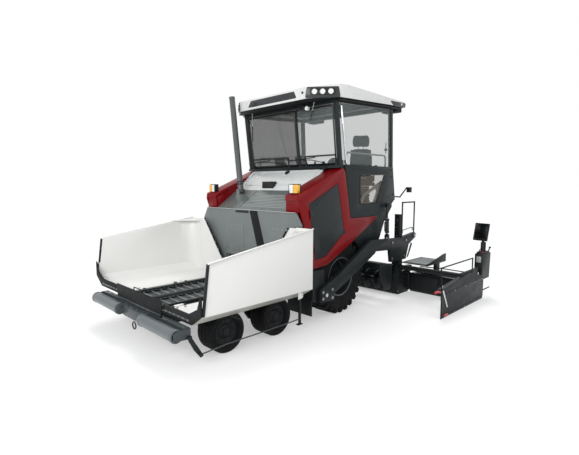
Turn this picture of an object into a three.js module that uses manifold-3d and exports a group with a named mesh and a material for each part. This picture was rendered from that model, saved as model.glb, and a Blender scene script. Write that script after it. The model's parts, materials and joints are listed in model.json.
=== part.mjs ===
// A wheeled asphalt paver with its screed, in millimetres.
// +Z is up, the machine drives towards -Y, and its left side is +X.
// All places are measured from the ground below the middle of the rear axle;
// the last group moves that point so that the origin is below the middle of the whole machine.
import * as THREE from 'three';
import { mergeVertices } from 'three/addons/utils/BufferGeometryUtils.js';
import Module from 'manifold-3d';

const wasm = await Module();
wasm.setup();

// ---- Driving dimensions -------------------------------------------------------------------

const SEAT_GAP = 0.3; // between faces that rest on each other
const RUN_GAP = 0.8; // between a pin and its bore, or a turning end and its cheek
const MOVE_GAP = 8; // between pieces that move past each other
const PIN_SIDES = 16;
const SHAFT_SIDES = 24; // stubs and tow pins, too wide for the coarser pins

const BODY_OUT = 1250; // outer side of the body's side plates
const BODY_PLATE = 35;
const BODY_IN = BODY_OUT - BODY_PLATE;
const RAIL_IN = BODY_IN - 265;
const HOOD_HALF = RAIL_IN - MOVE_GAP;
const CAB_HALF = BODY_IN - 15;

const REAR_TYRE_R = 665;
const REAR_TYRE_W = 430;
const REAR_TYRE_OUT = BODY_IN - 10; // outer side of the rear tyre
const RIM_R = 345;
const WHEEL_HOUSE_IN = REAR_TYRE_OUT - REAR_TYRE_W - 35; // inner side of the rear wheel's space
const FRONT_WHEEL_R = 290;
const FRONT_WHEEL_W = 320;
const FRONT_WHEEL_OUT = REAR_TYRE_OUT - 5;
const FRONT_AXLE_Y = -2491;
const SECOND_AXLE_Y = -1566;
const KINGPIN_X = FRONT_WHEEL_OUT - FRONT_WHEEL_W - 140;
const STUB_R = 40;
const WHEEL_SIDES = 24;

const FRAME_IN = 520; // inner side of the frame's long members
const FRAME_OUT = 580;
const FRAME_FRONT = -3120;
const FRAME_REAR = 1100;
const FRAME_LOW = 380;
const DECK_Z = 600; // top of the conveyor
const TUNNEL_FRONT = -1120;
const TUNNEL_TOP = 1000;
const ENGINE_FLOOR = 1080;

const WING_PIN_X = 620;
const WING_PIN_Z = 620;
const WING_PIN_R = 12;
const WING_FRONT = FRAME_FRONT - 30;
const WING_REAR = TUNNEL_FRONT - 120;
const WING_OUT = BODY_OUT + 375;
const WING_FLOOR_OUT = WING_OUT - 225;
const WING_TOP_FRONT = 1370;
const WING_TOP_REAR = 1640;
const WING_PLATE = 25;

const ROLLER_Y = FRAME_FRONT - 180;
const ROLLER_Z = 460;
const ROLLER_R = 90;
const ROLLER_IN = 350;
const ROLLER_OUT = BODY_OUT + 20;
const ROLLER_AXLE_R = 25;
const BEAM_TOP = 535;

const REAR_WALL_Y = TUNNEL_FRONT - 60; // front face of the hopper's rear wall
const REAR_WALL_PLATE = 40;
const REAR_WALL_TOP = 1850;

const PLATFORM_Z = 1900; // top of the platform's floor
const FENDER_Z = 1400;

const SILL_Z = 2600;
const POST = 60;
const ROOF_HALF = CAB_HALF + 110;
const ROOF_FRONT = -600;
const ROOF_REAR = 1960;
const ROOF_LOW_FRONT = 3706;
const ROOF_LOW_REAR = 3835;
const ROOF_TOP = 3960;
const ROOF_CORNER = 130; // cut off each rear corner
const ROOF_LAMP_X = 430; // cut off each front corner, where a lamp panel stands
const ROOF_LAMP_Y = 340;

const ARM_IN = BODY_OUT + 40;
const ARM_OUT = ARM_IN + 70;
const TOW_Y = -620;
const TOW_Z = 480;
const TOW_PIN_R = 40;

const HANDRAIL_TOP = 1930;
const LIFT_X = (ARM_IN + ARM_OUT) / 2;
const LIFT_LOW = [1265, 1300];
const LIFT_HIGH = [1250, 1900];
const LIFT_PIN_R = 18;
const LIFT_TOP_PIN_R = 14;
const EYE_DRIFT = 15; // room round the upper pin, on which the rod's eye wanders as the arm lifts
const BARREL_R = 38;
const LIFT_ROD_R = 18;
const BARREL_LENGTH = 330;

const SCREED_LOW = 5;
const SCREED_HALF = ARM_IN - 13;
const SCREED_FRONT = 1790;
const SCREED_REAR = 2250;
const SCREED_TOP = 480;
const EXT_IN = SCREED_HALF + 23;
const END_PLATE_OUT = 2640;
const END_PLATE_T = 20;
const EXT_OUT = END_PLATE_OUT - 2 * END_PLATE_T;
const EXT_FRONT = SCREED_REAR + 15;
const EXT_REAR = 2560;
const EXT_TOP = 410;
const SLIDE_R = 45;
const SLIDE_FRONT = [1830, 600];
const SLIDE_REAR = [2315, 500];
const END_PLATE_FRONT = 905;
const END_PLATE_REAR = 2810;
const STOW_ROD_REAR = 3190;

const AUGER_Y = 1350;
const AUGER_Z = 380;
const AUGER_R = 190;
const AUGER_IN = 112;
const AUGER_OUT = ARM_IN - 28;

const FRONT_END = ROLLER_Y - ROLLER_R;
const REAR_END = STOW_ROD_REAR;

// ---- Materials ----------------------------------------------------------------------------

function finish(color, roughness, metalness = 0) {
  return new THREE.MeshStandardMaterial({ color, roughness, metalness });
}

const DARK_PAINT = finish(0x303638, 0.45);
const RED_PAINT = finish(0x8e0f16, 0.25);
const WHITE_PAINT = finish(0xe6e6e4, 0.35);
const GREY_PAINT = finish(0x6f7575, 0.5);
const STEEL = finish(0x8c8f90, 0.35, 0.9);
const CHROME = finish(0xc8cccc, 0.12, 1);
const RUBBER = finish(0x17191a, 0.85);
const PLASTIC = finish(0x202324, 0.6);
const GLASS = finish(0x9aa4a6, 0.05);
GLASS.transparent = true;
GLASS.opacity = 0.35;

// ---- Shape helpers ------------------------------------------------------------------------

// A closed solid from any closed geometry, with its faces turned outwards.
function solid(geometry) {
  const bare = geometry.index ? geometry.toNonIndexed() : geometry.clone();
  for (const name of Object.keys(bare.attributes)) {
    if (name !== 'position') bare.deleteAttribute(name);
  }
  const merged = mergeVertices(bare, 1e-3);
  const vertProperties = new Float32Array(merged.attributes.position.array);
  const corners = new Uint32Array(merged.index.array);
  const keep = [];
  for (let i = 0; i < corners.length; i += 3) {
    const [a, b, c] = [corners[i], corners[i + 1], corners[i + 2]];
    if (a !== b && b !== c && c !== a) keep.push(a, b, c);
  }
  const triVerts = new Uint32Array(keep);
  if (signedVolume(vertProperties, triVerts) < 0) flipFaces(triVerts);
  return new wasm.Manifold(new wasm.Mesh({ numProp: 3, vertProperties, triVerts }));
}

function signedVolume(points, faces) {
  const at = (i) => new THREE.Vector3().fromArray(points, i * 3);
  let sum = 0;
  for (let i = 0; i < faces.length; i += 3) {
    sum += at(faces[i]).dot(at(faces[i + 1]).cross(at(faces[i + 2])));
  }
  return sum / 6;
}

function flipFaces(faces) {
  for (let i = 0; i < faces.length; i += 3) {
    [faces[i + 1], faces[i + 2]] = [faces[i + 2], faces[i + 1]];
  }
}

function join(...solids) {
  return solids.flat().reduce((whole, next) => whole.add(next));
}

function cut(body, ...tools) {
  return tools.flat().reduce((rest, tool) => rest.subtract(tool), body);
}

function shapeOf(outline, holes = []) {
  const shape = new THREE.Shape(outline.map(([a, b]) => new THREE.Vector2(a, b)));
  for (const hole of holes) {
    const points = hole.map(([a, b]) => new THREE.Vector2(a, b));
    if (THREE.ShapeUtils.isClockWise(points)) points.reverse();
    shape.holes.push(new THREE.Path(points));
  }
  return shape;
}

function extruded(outline, length, holes) {
  return new THREE.ExtrudeGeometry(shapeOf(outline, holes), { depth: length, bevelEnabled: false });
}

// An outline of (y, z) points pulled along X.
function alongX(outline, from, to, holes) {
  const geometry = extruded(outline, to - from, holes);
  const turn = new THREE.Matrix4().makeBasis(
    new THREE.Vector3(0, 1, 0),
    new THREE.Vector3(0, 0, 1),
    new THREE.Vector3(1, 0, 0),
  );
  geometry.applyMatrix4(turn);
  geometry.translate(from, 0, 0);
  return solid(geometry);
}

// An outline of (x, z) points pulled along Y.
function alongY(outline, from, to, holes) {
  const geometry = extruded(outline, to - from, holes);
  geometry.rotateX(Math.PI / 2);
  geometry.translate(0, to, 0);
  return solid(geometry);
}

// An outline of (x, y) points pulled along Z.
function alongZ(outline, from, to, holes) {
  const geometry = extruded(outline, to - from, holes);
  geometry.translate(0, 0, from);
  return solid(geometry);
}

function block(x0, x1, y0, y1, z0, z1) {
  const geometry = new THREE.BoxGeometry(x1 - x0, y1 - y0, z1 - z0);
  geometry.translate((x0 + x1) / 2, (y0 + y1) / 2, (z0 + z1) / 2);
  return solid(geometry);
}

// A round bar between two points.
function bar(start, end, radius, sides = 12) {
  const from = new THREE.Vector3(...start);
  const to = new THREE.Vector3(...end);
  const along = to.clone().sub(from);
  const geometry = new THREE.CylinderGeometry(radius, radius, along.length(), sides);
  const turn = new THREE.Quaternion().setFromUnitVectors(
    new THREE.Vector3(0, 1, 0),
    along.clone().normalize(),
  );
  geometry.applyQuaternion(turn);
  geometry.translate(...from.add(to).multiplyScalar(0.5).toArray());
  return solid(geometry);
}

function barX(x0, x1, y, z, radius, sides = PIN_SIDES) {
  return bar([x0, y, z], [x1, y, z], radius, sides);
}

function barY(y0, y1, x, z, radius, sides = PIN_SIDES) {
  return bar([x, y0, z], [x, y1, z], radius, sides);
}

function barZ(z0, z1, x, y, radius, sides = PIN_SIDES) {
  return bar([x, y, z0], [x, y, z1], radius, sides);
}

// A bent tube: straight bars that overlap a little at each bend.
function rail(points, radius, sides = 8) {
  const bars = [];
  for (let i = 0; i + 1 < points.length; i += 1) {
    const from = new THREE.Vector3(...points[i]);
    const to = new THREE.Vector3(...points[i + 1]);
    const reach = to.clone().sub(from).setLength(radius * 0.8);
    if (i > 0) from.sub(reach);
    if (i + 2 < points.length) to.add(reach);
    bars.push(bar(from.toArray(), to.toArray(), radius, sides));
  }
  return join(bars);
}

// A turned piece on an axis along X: points are (place along X, radius).
function turned(points, centre, sides = WHEEL_SIDES) {
  const profile = points.map(([a, r]) => new THREE.Vector2(r, a));
  const geometry = new THREE.LatheGeometry(profile, sides);
  geometry.rotateZ(-Math.PI / 2);
  geometry.translate(...centre);
  return solid(geometry);
}

function closed(points) {
  return [...points, points[0]];
}

// The mirror image on the other side of the machine.
function mirrored(body) {
  const geometry = geometryOf(body);
  geometry.scale(-1, 1, 1);
  return solid(geometry);
}

function geometryOf(body) {
  const mesh = body.getMesh();
  const points = new Float32Array(mesh.numVert * 3);
  for (let i = 0; i < mesh.numVert; i += 1) {
    for (let axis = 0; axis < 3; axis += 1) {
      points[i * 3 + axis] = mesh.vertProperties[i * mesh.numProp + axis];
    }
  }
  const geometry = new THREE.BufferGeometry();
  geometry.setAttribute('position', new THREE.BufferAttribute(points, 3));
  geometry.setIndex(new THREE.BufferAttribute(new Uint32Array(mesh.triVerts), 1));
  geometry.computeVertexNormals();
  return geometry;
}

function scaledAbout(outline, offset) {
  // Moves each side of a convex outline outwards by offset, or inwards when it is negative.
  const n = outline.length;
  let area = 0;
  for (let i = 0; i < n; i += 1) {
    const [a, b] = [outline[i], outline[(i + 1) % n]];
    area += a[0] * b[1] - b[0] * a[1];
  }
  const side = Math.sign(area);
  const lines = outline.map((a, i) => {
    const b = outline[(i + 1) % n];
    const length = Math.hypot(b[0] - a[0], b[1] - a[1]);
    const normal = [(side * (b[1] - a[1])) / length, (-side * (b[0] - a[0])) / length];
    return { normal, reach: normal[0] * a[0] + normal[1] * a[1] + offset };
  });
  return lines.map((next, i) => {
    const last = lines[(i + n - 1) % n];
    const det = last.normal[0] * next.normal[1] - last.normal[1] * next.normal[0];
    return [
      (last.reach * next.normal[1] - next.reach * last.normal[1]) / det,
      (last.normal[0] * next.reach - next.normal[0] * last.reach) / det,
    ];
  });
}

// ---- Running gear -------------------------------------------------------------------------

const REAR_WHEEL_X = REAR_TYRE_OUT - REAR_TYRE_W / 2;
const FRONT_WHEEL_X = FRONT_WHEEL_OUT - FRONT_WHEEL_W / 2;
const DRIVE_FACE = 120; // from the rear wheel's middle plane inwards to its mounting face

function rearTyre() {
  const half = REAR_TYRE_W / 2;
  const profile = [
    [-half, RIM_R + 25],
    [-half + 6, REAR_TYRE_R - 120],
    [-half + 40, REAR_TYRE_R - 25],
    [-half + 100, REAR_TYRE_R],
    [half - 100, REAR_TYRE_R],
    [half - 40, REAR_TYRE_R - 25],
    [half - 6, REAR_TYRE_R - 120],
    [half, RIM_R + 25],
    [half - 20, RIM_R],
    [-half + 20, RIM_R],
  ];
  return turned(closed(profile), [REAR_WHEEL_X, 0, REAR_TYRE_R]);
}

function rearRim() {
  const seat = RIM_R - SEAT_GAP;
  const half = REAR_TYRE_W / 2 - 20;
  const profile = [
    [70, 0],
    [70, 110],
    [25, 130],
    [10, 290],
    [half, 320],
    [half, seat],
    [-half, seat],
    [-half, 320],
    [-20, 290],
    [-DRIVE_FACE, 200],
    [-DRIVE_FACE, 0],
  ];
  return turned(profile, [REAR_WHEEL_X, 0, REAR_TYRE_R]);
}

function rearDrive() {
  const face = REAR_WHEEL_X - DRIVE_FACE - SEAT_GAP;
  return join(
    barX(FRAME_OUT + SEAT_GAP, WHEEL_HOUSE_IN, 0, REAR_TYRE_R, 220),
    barX(WHEEL_HOUSE_IN, face, 0, REAR_TYRE_R, 170),
  );
}

function frontWheel(axleY) {
  const half = FRONT_WHEEL_W / 2;
  const bore = STUB_R + RUN_GAP;
  const profile = [
    [-half + 30, bore],
    [-half, 190],
    [-half, FRONT_WHEEL_R - 20],
    [-half + 25, FRONT_WHEEL_R],
    [half - 25, FRONT_WHEEL_R],
    [half, FRONT_WHEEL_R - 20],
    [half, 190],
    [half - 50, 90],
    [half - 50, bore],
  ];
  return turned(closed(profile), [FRONT_WHEEL_X, axleY, FRONT_WHEEL_R]);
}

const KNUCKLE_R = 70;
const KNUCKLE_LOW = 190;
const KNUCKLE_HIGH = 390;
const HANGER_IN = 620;
const HANGER_WEB = 40;

function knuckle(axleY) {
  const reach = FRONT_WHEEL_OUT - 35;
  return join(
    barZ(KNUCKLE_LOW, KNUCKLE_HIGH, KINGPIN_X, axleY, KNUCKLE_R),
    barX(KINGPIN_X, reach, axleY, FRONT_WHEEL_R, STUB_R, SHAFT_SIDES),
    barX(KINGPIN_X, FRONT_WHEEL_X - FRONT_WHEEL_W / 2 + 26, axleY, FRONT_WHEEL_R, 55),
  );
}

// A beam that rocks on the frame and holds the two knuckles of one side between its lugs.
function bogieBeam() {
  const low = KNUCKLE_LOW - 30;
  const high = 500;
  const over = 110;
  const front = FRONT_AXLE_Y - over;
  const rear = SECOND_AXLE_Y + over;
  const middle = (FRONT_AXLE_Y + SECOND_AXLE_Y) / 2;
  const web = alongX(
    [
      [front, low],
      [front + 2 * over, low],
      [middle - 230, 330],
      [middle + 230, 330],
      [rear - 2 * over, low],
      [rear, low],
      [rear, high],
      [front, high],
    ],
    HANGER_IN,
    HANGER_IN + HANGER_WEB,
  );
  const lugs = [FRONT_AXLE_Y, SECOND_AXLE_Y].flatMap((y) => [
    block(HANGER_IN, KINGPIN_X + 60, y - 75, y + 75, KNUCKLE_HIGH + RUN_GAP, KNUCKLE_HIGH + 40),
    block(HANGER_IN, KINGPIN_X + 60, y - 75, y + 75, low, KNUCKLE_LOW - RUN_GAP),
  ]);
  const pivot = barX(FRAME_OUT + SEAT_GAP, HANGER_IN + 10, middle, 440, 60);
  return join(web, lugs, pivot);
}

// ---- Frame --------------------------------------------------------------------------------

// Middle of each hinge barrel on a wing.
const WING_BARRELS = [WING_FRONT + 250, (WING_FRONT + WING_REAR) / 2 + 45, WING_REAR - 160];
const BARREL_HALF = 70;
const BARREL_OUT_R = 26;

function frameHinges() {
  const pieces = [];
  for (const y of WING_BARRELS) {
    const near = y - BARREL_HALF - MOVE_GAP;
    const far = y + BARREL_HALF + MOVE_GAP;
    pieces.push(barY(near - 40, far + 40, WING_PIN_X, WING_PIN_Z, WING_PIN_R));
    const lug = [
      [FRAME_OUT - 20, DECK_Z - 60],
      [WING_PIN_X, DECK_Z - 10],
      [WING_PIN_X + 12, WING_PIN_Z - 6],
      [WING_PIN_X + 12, WING_PIN_Z + 14],
      [WING_PIN_X - 12, WING_PIN_Z + 20],
      [FRAME_OUT - 20, DECK_Z],
    ];
    pieces.push(alongY(lug, near - 40, near), alongY(lug, far, far + 40));
  }
  return pieces;
}

const TOW_CHEEK_IN = BODY_IN;
const TOW_CHEEK_OUT = ARM_IN - 6;
const TOW_FRONT = TOW_Y - 240;

// The bracket on the frame's side that carries the tow arm's front pin, with its spill plate.
function towBracket() {
  const back = TOW_Y + 90;
  const cheek = [
    [TOW_FRONT, TOW_Z - 100],
    [back, TOW_Z - 100],
    [back, TOW_Z + 120],
    [back - 40, TOW_Z + 220],
    [back - 40, 890],
    [TOW_FRONT, 900],
  ];
  return join(
    block(FRAME_OUT + SEAT_GAP, TOW_CHEEK_OUT, TOW_FRONT, TOW_Y - 100, 420, 900),
    alongX(cheek, TOW_CHEEK_IN, TOW_CHEEK_OUT),
    barX(TOW_CHEEK_OUT - 10, ARM_OUT + 12, TOW_Y, TOW_Z, TOW_PIN_R, SHAFT_SIDES),
    block(FRAME_OUT + 140, TOW_CHEEK_OUT - 14, TOW_FRONT - 15, TOW_FRONT + 5, 150, 430),
  );
}

function chassisFrame() {
  const wall = FRAME_OUT - FRAME_IN;
  const left = [
    block(FRAME_IN, FRAME_OUT, FRAME_FRONT, FRAME_REAR, FRAME_LOW, DECK_Z),
    block(FRAME_IN, FRAME_OUT, TUNNEL_FRONT, FRAME_REAR, DECK_Z, TUNNEL_TOP),
    block(FRAME_IN, FRAME_OUT + 160, TUNNEL_FRONT, -900, FRAME_LOW + 100, TUNNEL_TOP),
    block(FRAME_OUT - 10, WHEEL_HOUSE_IN, TUNNEL_FRONT, FRAME_REAR, TUNNEL_TOP, ENGINE_FLOOR),
    block(WHEEL_HOUSE_IN - 10, BODY_IN - 20, TUNNEL_FRONT, WHEEL_HOUSE_FRONT, TUNNEL_TOP, 1040),
    ...frameHinges(),
  ];
  const right = left.map(mirrored);
  const floor = block(-FRAME_OUT + 10, FRAME_OUT - 10, FRAME_FRONT, FRAME_REAR, 540, 584);
  const roof = block(-FRAME_OUT, FRAME_OUT, TUNNEL_FRONT, FRAME_REAR, TUNNEL_TOP, ENGINE_FLOOR);
  const ties = [FRAME_FRONT + 160, -2028, TUNNEL_FRONT + 120, 300, FRAME_REAR - 60].map((y) =>
    block(-FRAME_OUT + wall / 2, FRAME_OUT - wall / 2, y - 40, y + 40, FRAME_LOW, 560),
  );
  return join(floor, roof, left, right, ties);
}

function conveyorDeck() {
  return block(
    -FRAME_IN + SEAT_GAP,
    FRAME_IN - SEAT_GAP,
    FRAME_FRONT + 60,
    FRAME_REAR,
    584 + SEAT_GAP,
    DECK_Z,
  );
}

// ---- Front beam and hopper ----------------------------------------------------------------

const BEAM_FRONT = FRAME_FRONT - 80;
const HITCH_FRONT = FRAME_FRONT - 170;

function pushBeam() {
  const back = FRAME_FRONT - SEAT_GAP;
  const cheek = [
    [ROLLER_Y - 55, ROLLER_Z - 50],
    [back - 60, ROLLER_Z - 60],
    [back - 60, BEAM_TOP],
    [ROLLER_Y - 20, ROLLER_Z + 60],
    [ROLLER_Y - 55, ROLLER_Z + 40],
  ];
  const cheeks = [
    [ROLLER_IN - 30, ROLLER_IN - RUN_GAP],
    [ROLLER_OUT + RUN_GAP, ROLLER_OUT + 22],
  ];
  const axle = barX(ROLLER_IN - 30, ROLLER_OUT + 20, ROLLER_Y, ROLLER_Z, ROLLER_AXLE_R);
  const side = [axle, ...cheeks.map(([from, to]) => alongX(cheek, from, to))];
  return join(
    block(-ROLLER_OUT - 20, ROLLER_OUT + 20, BEAM_FRONT, back, 400, BEAM_TOP),
    block(-ROLLER_IN + 50, ROLLER_IN - 50, HITCH_FRONT, back, 380, 520),
    side,
    side.map(mirrored),
  );
}

function pushRoller() {
  const bore = ROLLER_AXLE_R + RUN_GAP;
  const profile = [
    [ROLLER_IN, bore],
    [ROLLER_IN, ROLLER_R - 6],
    [ROLLER_IN + 6, ROLLER_R],
    [ROLLER_OUT - 6, ROLLER_R],
    [ROLLER_OUT, ROLLER_R - 6],
    [ROLLER_OUT, bore],
  ];
  return turned(closed(profile), [0, ROLLER_Y, ROLLER_Z], 20);
}

function apronCenter() {
  return block(-700, 700, BEAM_FRONT + 2, BEAM_FRONT + 16, BEAM_TOP + SEAT_GAP, 770);
}

const FLANGE_IN = BODY_OUT + 50;

function hopperWing() {
  const floorIn = WING_PIN_X + 20;
  const low = 600;
  const outer = [
    [floorIn, low - 4],
    [WING_FLOOR_OUT, low],
    [WING_OUT - 5, 740],
    [WING_OUT, 1800],
  ];
  const inner = [
    [WING_OUT - WING_PLATE, 1800],
    [WING_OUT - 5 - WING_PLATE, 756],
    [WING_FLOOR_OUT - 8, low + WING_PLATE],
    [floorIn, low - 4 + WING_PLATE],
  ];
  const shell = alongY([...outer, ...inner], WING_FRONT, WING_REAR);
  const side = alongX(
    [
      [WING_FRONT, 500],
      [WING_FRONT, 760],
      [WING_FRONT + 80, WING_TOP_FRONT],
      [WING_REAR - 20, WING_TOP_REAR],
      [WING_REAR, WING_TOP_REAR],
      [WING_REAR, 500],
    ],
    0,
    2000,
  );
  const plate = shell.intersect(side);
  const flange = alongY(
    [
      [WING_FLOOR_OUT - 350, low + 10],
      [WING_FLOOR_OUT, low + 10],
      [WING_OUT - 12, 748],
      [WING_OUT - 8, WING_TOP_REAR],
      [FLANGE_IN, WING_TOP_REAR],
    ],
    WING_REAR - 20,
    WING_REAR,
  );
  const gusset = alongZ(
    [
      [WING_OUT - 8, WING_REAR - 480],
      [WING_OUT - 8, WING_REAR - 5],
      [FLANGE_IN, WING_REAR - 5],
      [FLANGE_IN + 20, WING_REAR - 60],
    ],
    WING_TOP_REAR - 52,
    WING_TOP_REAR - 36,
  );
  const barrels = WING_BARRELS.map((y) => {
    const web = block(WING_PIN_X + 6, floorIn + 60, y - BARREL_HALF, y + BARREL_HALF, 602, 619);
    const barrel = barY(y - BARREL_HALF, y + BARREL_HALF, WING_PIN_X, WING_PIN_Z, BARREL_OUT_R);
    return join(web, barrel);
  });
  const bores = WING_BARRELS.map((y) =>
    barY(y - 2 * BARREL_HALF, y + 2 * BARREL_HALF, WING_PIN_X, WING_PIN_Z, WING_PIN_R + RUN_GAP),
  );
  return cut(join(plate, flange, gusset, barrels), bores);
}

function hopperRearWall() {
  const half = [
    [BODY_OUT - 50, REAR_WALL_TOP],
    [BODY_OUT + 70, 1660],
    [BODY_OUT - 210, 860],
    [BODY_OUT - 350, 645],
    [FRAME_OUT + 12, 645],
    [FRAME_OUT + 12, TUNNEL_TOP + 10],
  ];
  const other = half.map(([x, z]) => [-x, z]).reverse();
  return alongY([...half, ...other], REAR_WALL_Y, REAR_WALL_Y + REAR_WALL_PLATE);
}

// ---- Engine house -------------------------------------------------------------------------

const HOOD_FRONT = [REAR_WALL_Y + REAR_WALL_PLATE + SEAT_GAP, 1850];
const HOOD_RIDGE = [-650, 2190];
const LID_TOP = [-235, 2550];
const HOOD_PLATE = 35;

function hoodDeck() {
  const [y0, z0] = HOOD_FRONT;
  const [y1, z1] = HOOD_RIDGE;
  const outline = [
    [y0, z0],
    [y1, z1],
    [y1, z1 - HOOD_PLATE],
    [y0 + 30, z0 - HOOD_PLATE],
    [y0 + 30, ENGINE_FLOOR + SEAT_GAP],
    [y0, ENGINE_FLOOR + SEAT_GAP],
  ];
  return join(alongX(outline, -HOOD_HALF, HOOD_HALF), stackFoot());
}

const STACK_FOOT = [-560, -850, 2170]; // middle of the pin that the exhaust folds on
const STACK_TOP = [-800, -850, 3940];
const STACK_R = 54;
const STACK_PIN_R = 14;
const STACK_BARREL_R = 44;
const STACK_BARREL_HALF = STACK_R + 4;
const STACK_EAR = 18;

function deckAt(y) {
  const [y0, z0] = HOOD_FRONT;
  const [y1, z1] = HOOD_RIDGE;
  return z0 + ((y - y0) * (z1 - z0)) / (y1 - y0);
}

// The pad and two ears on the hood's deck, with the pin between the ears.
function stackFoot() {
  const [x, y, z] = STACK_FOOT;
  const earIn = STACK_BARREL_HALF + 2;
  const earOut = earIn + STACK_EAR;
  const sink = 12;
  const pad = [
    [y - earOut, deckAt(y - earOut) - sink],
    [y + earOut, deckAt(y + earOut) - sink],
    [y + earOut, z - STACK_R - MOVE_GAP - 3],
    [y - earOut, z - STACK_R - MOVE_GAP - 3],
  ];
  const ears = [
    [y - earOut, y - earIn],
    [y + earIn, y + earOut],
  ].map(([from, to]) => block(x - 38, x + 38, from, to, deckAt(from) - sink, z + 34));
  return [alongX(pad, x - 72, x + 72), ...ears, barY(y - earOut, y + earOut, x, z, STACK_PIN_R)];
}

function hoodLid() {
  const [y0, z0] = [HOOD_RIDGE[0] + RUN_GAP, HOOD_RIDGE[1]];
  const [y1, z1] = LID_TOP;
  const outline = [
    [y0, z0],
    [y1, z1],
    [y1 + 22, z1 - 22],
    [y0 + 22, z0 - 22],
  ];
  return alongX(outline, -HOOD_HALF, HOOD_HALF);
}

function engineBlock() {
  return block(-600, 600, -1000, -250, ENGINE_FLOOR + SEAT_GAP, 1800);
}

function exhaustStack() {
  const [x, y, z] = STACK_FOOT;
  const pipe = bar([x, y, z - 12], STACK_TOP, STACK_R, 16);
  const barrel = barY(y - STACK_BARREL_HALF, y + STACK_BARREL_HALF, x, z, STACK_BARREL_R);
  const bore = barY(y - 100, y + 100, x, z, STACK_PIN_R + RUN_GAP);
  return cut(join(pipe, barrel), bore);
}

const FRAME_OUTLINE = [
  [-1150, 2130],
  [-60, 2575],
  [6, 2510],
  [175, 1695],
  [1015, 1695],
  [1000, 1660],
  [186, 1243],
  [-447, 955],
  [-770, 923],
  [-900, 930],
  [-1045, 1660],
  [-1164, 2030],
];
const DOOR_OUTLINE = [
  [-915, 1980],
  [-195, 2307],
  [-2, 1466],
  [-509, 1100],
  [-771, 1076],
];

const DOOR_HINGE_R = 7;
const DOOR_HINGE_BARREL_R = 12;
const DOOR_HINGE_X = BODY_OUT + DOOR_HINGE_BARREL_R + 6;
const DOOR_HINGE_SIDES = 12;

// Points along the slanted front edge of the door, a little in front of it.
function doorHingePoint(share) {
  const [top, bottom] = [DOOR_OUTLINE[0], DOOR_OUTLINE[4]];
  const y = bottom[0] + (top[0] - bottom[0]) * share - 10;
  const z = bottom[1] + (top[1] - bottom[1]) * share;
  return [DOOR_HINGE_X, y, z];
}

const DOOR_HINGES = [
  [0.14, 0.22],
  [0.78, 0.86],
];

// A block that stands on the frame in front of the door's edge and holds the end of a hinge pin.
function hingeEar(low, high) {
  return alongX(
    [
      [low[1] - 18, low[2]],
      [low[1] + 4, low[2]],
      [high[1] + 4, high[2]],
      [high[1] - 18, high[2]],
    ],
    BODY_OUT - 5,
    DOOR_HINGE_X + 10,
  );
}

function sideFrame() {
  const plate = alongX(FRAME_OUTLINE, BODY_IN, BODY_OUT, [scaledAbout(DOOR_OUTLINE, MOVE_GAP)]);
  const railBar = alongX(
    [
      [-1160, 2040],
      [-1150, 2130],
      [-60, 2575],
      [-10, 2525],
      [-60, 2490],
      [-1110, 2055],
    ],
    RAIL_IN,
    BODY_IN + 5,
  );
  const nose = block(RAIL_IN, BODY_IN + 5, -1139, -1105, REAR_WALL_TOP + 5, 2060);
  const pins = DOOR_HINGES.flatMap(([from, to]) => {
    const [low, high] = [doorHingePoint(from - 0.04), doorHingePoint(to + 0.04)];
    const pin = bar(low, high, DOOR_HINGE_R, DOOR_HINGE_SIDES);
    const ears = [
      [from - 0.04, from - 0.01],
      [to + 0.01, to + 0.04],
    ].map(([a, b]) => hingeEar(doorHingePoint(a), doorHingePoint(b)));
    return [pin, ...ears];
  });
  return join(plate, railBar, nose, pins);
}

function sideDoor() {
  const panel = alongX(DOOR_OUTLINE, BODY_IN + 4, BODY_OUT - 2);
  const barrels = DOOR_HINGES.map(([from, to]) => {
    const [low, high] = [doorHingePoint(from), doorHingePoint(to)];
    const barrel = bar(low, high, DOOR_HINGE_BARREL_R, DOOR_HINGE_SIDES);
    const strip = (from, to) => [
      [low[1] + from, low[2]],
      [low[1] + to, low[2]],
      [high[1] + to, high[2]],
      [high[1] + from, high[2]],
    ];
    const leaf = alongX(strip(0, 70), BODY_OUT + 6, BODY_OUT + 16);
    const pad = alongX(strip(24, 70), BODY_OUT - 10, BODY_OUT + 7);
    return join(barrel, leaf, pad);
  });
  const bores = DOOR_HINGES.map(([from, to]) =>
    bar(
      doorHingePoint(from - 0.02),
      doorHingePoint(to + 0.02),
      DOOR_HINGE_R + RUN_GAP,
      DOOR_HINGE_SIDES,
    ),
  );
  return cut(join(panel, barrels), bores);
}

// ---- Platform and cab ---------------------------------------------------------------------

const SKIRT_OUT = BODY_IN - SEAT_GAP;

const FLOOR_PLATE = 40;
const BULKHEAD_Y = -60;
const WALL_PLATE = 20;
const WHEEL_HOUSE_FRONT = -740;
const WHEEL_HOUSE_REAR = 1120;
const ENGINE_ROOM_REAR = 1080;

// The floor, the wall in front of the driver and the walls that close the engine room.
function platform() {
  const half = CAB_HALF - WALL_PLATE - SEAT_GAP;
  const roomHalf = WHEEL_HOUSE_IN - WALL_PLATE - 5 - SEAT_GAP;
  const foot = ENGINE_FLOOR + SEAT_GAP;
  return join(
    block(-half, half, BULKHEAD_Y, 1600, PLATFORM_Z - FLOOR_PLATE, PLATFORM_Z),
    block(-half, half, BULKHEAD_Y, BULKHEAD_Y + 30, FENDER_Z + WALL_PLATE + SEAT_GAP, 2480),
    block(-roomHalf, roomHalf, BULKHEAD_Y, BULKHEAD_Y + 30, foot, FENDER_Z + 30),
    block(-roomHalf, roomHalf, ENGINE_ROOM_REAR - WALL_PLATE, ENGINE_ROOM_REAR, foot, PLATFORM_Z - 5),
  );
}

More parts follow.
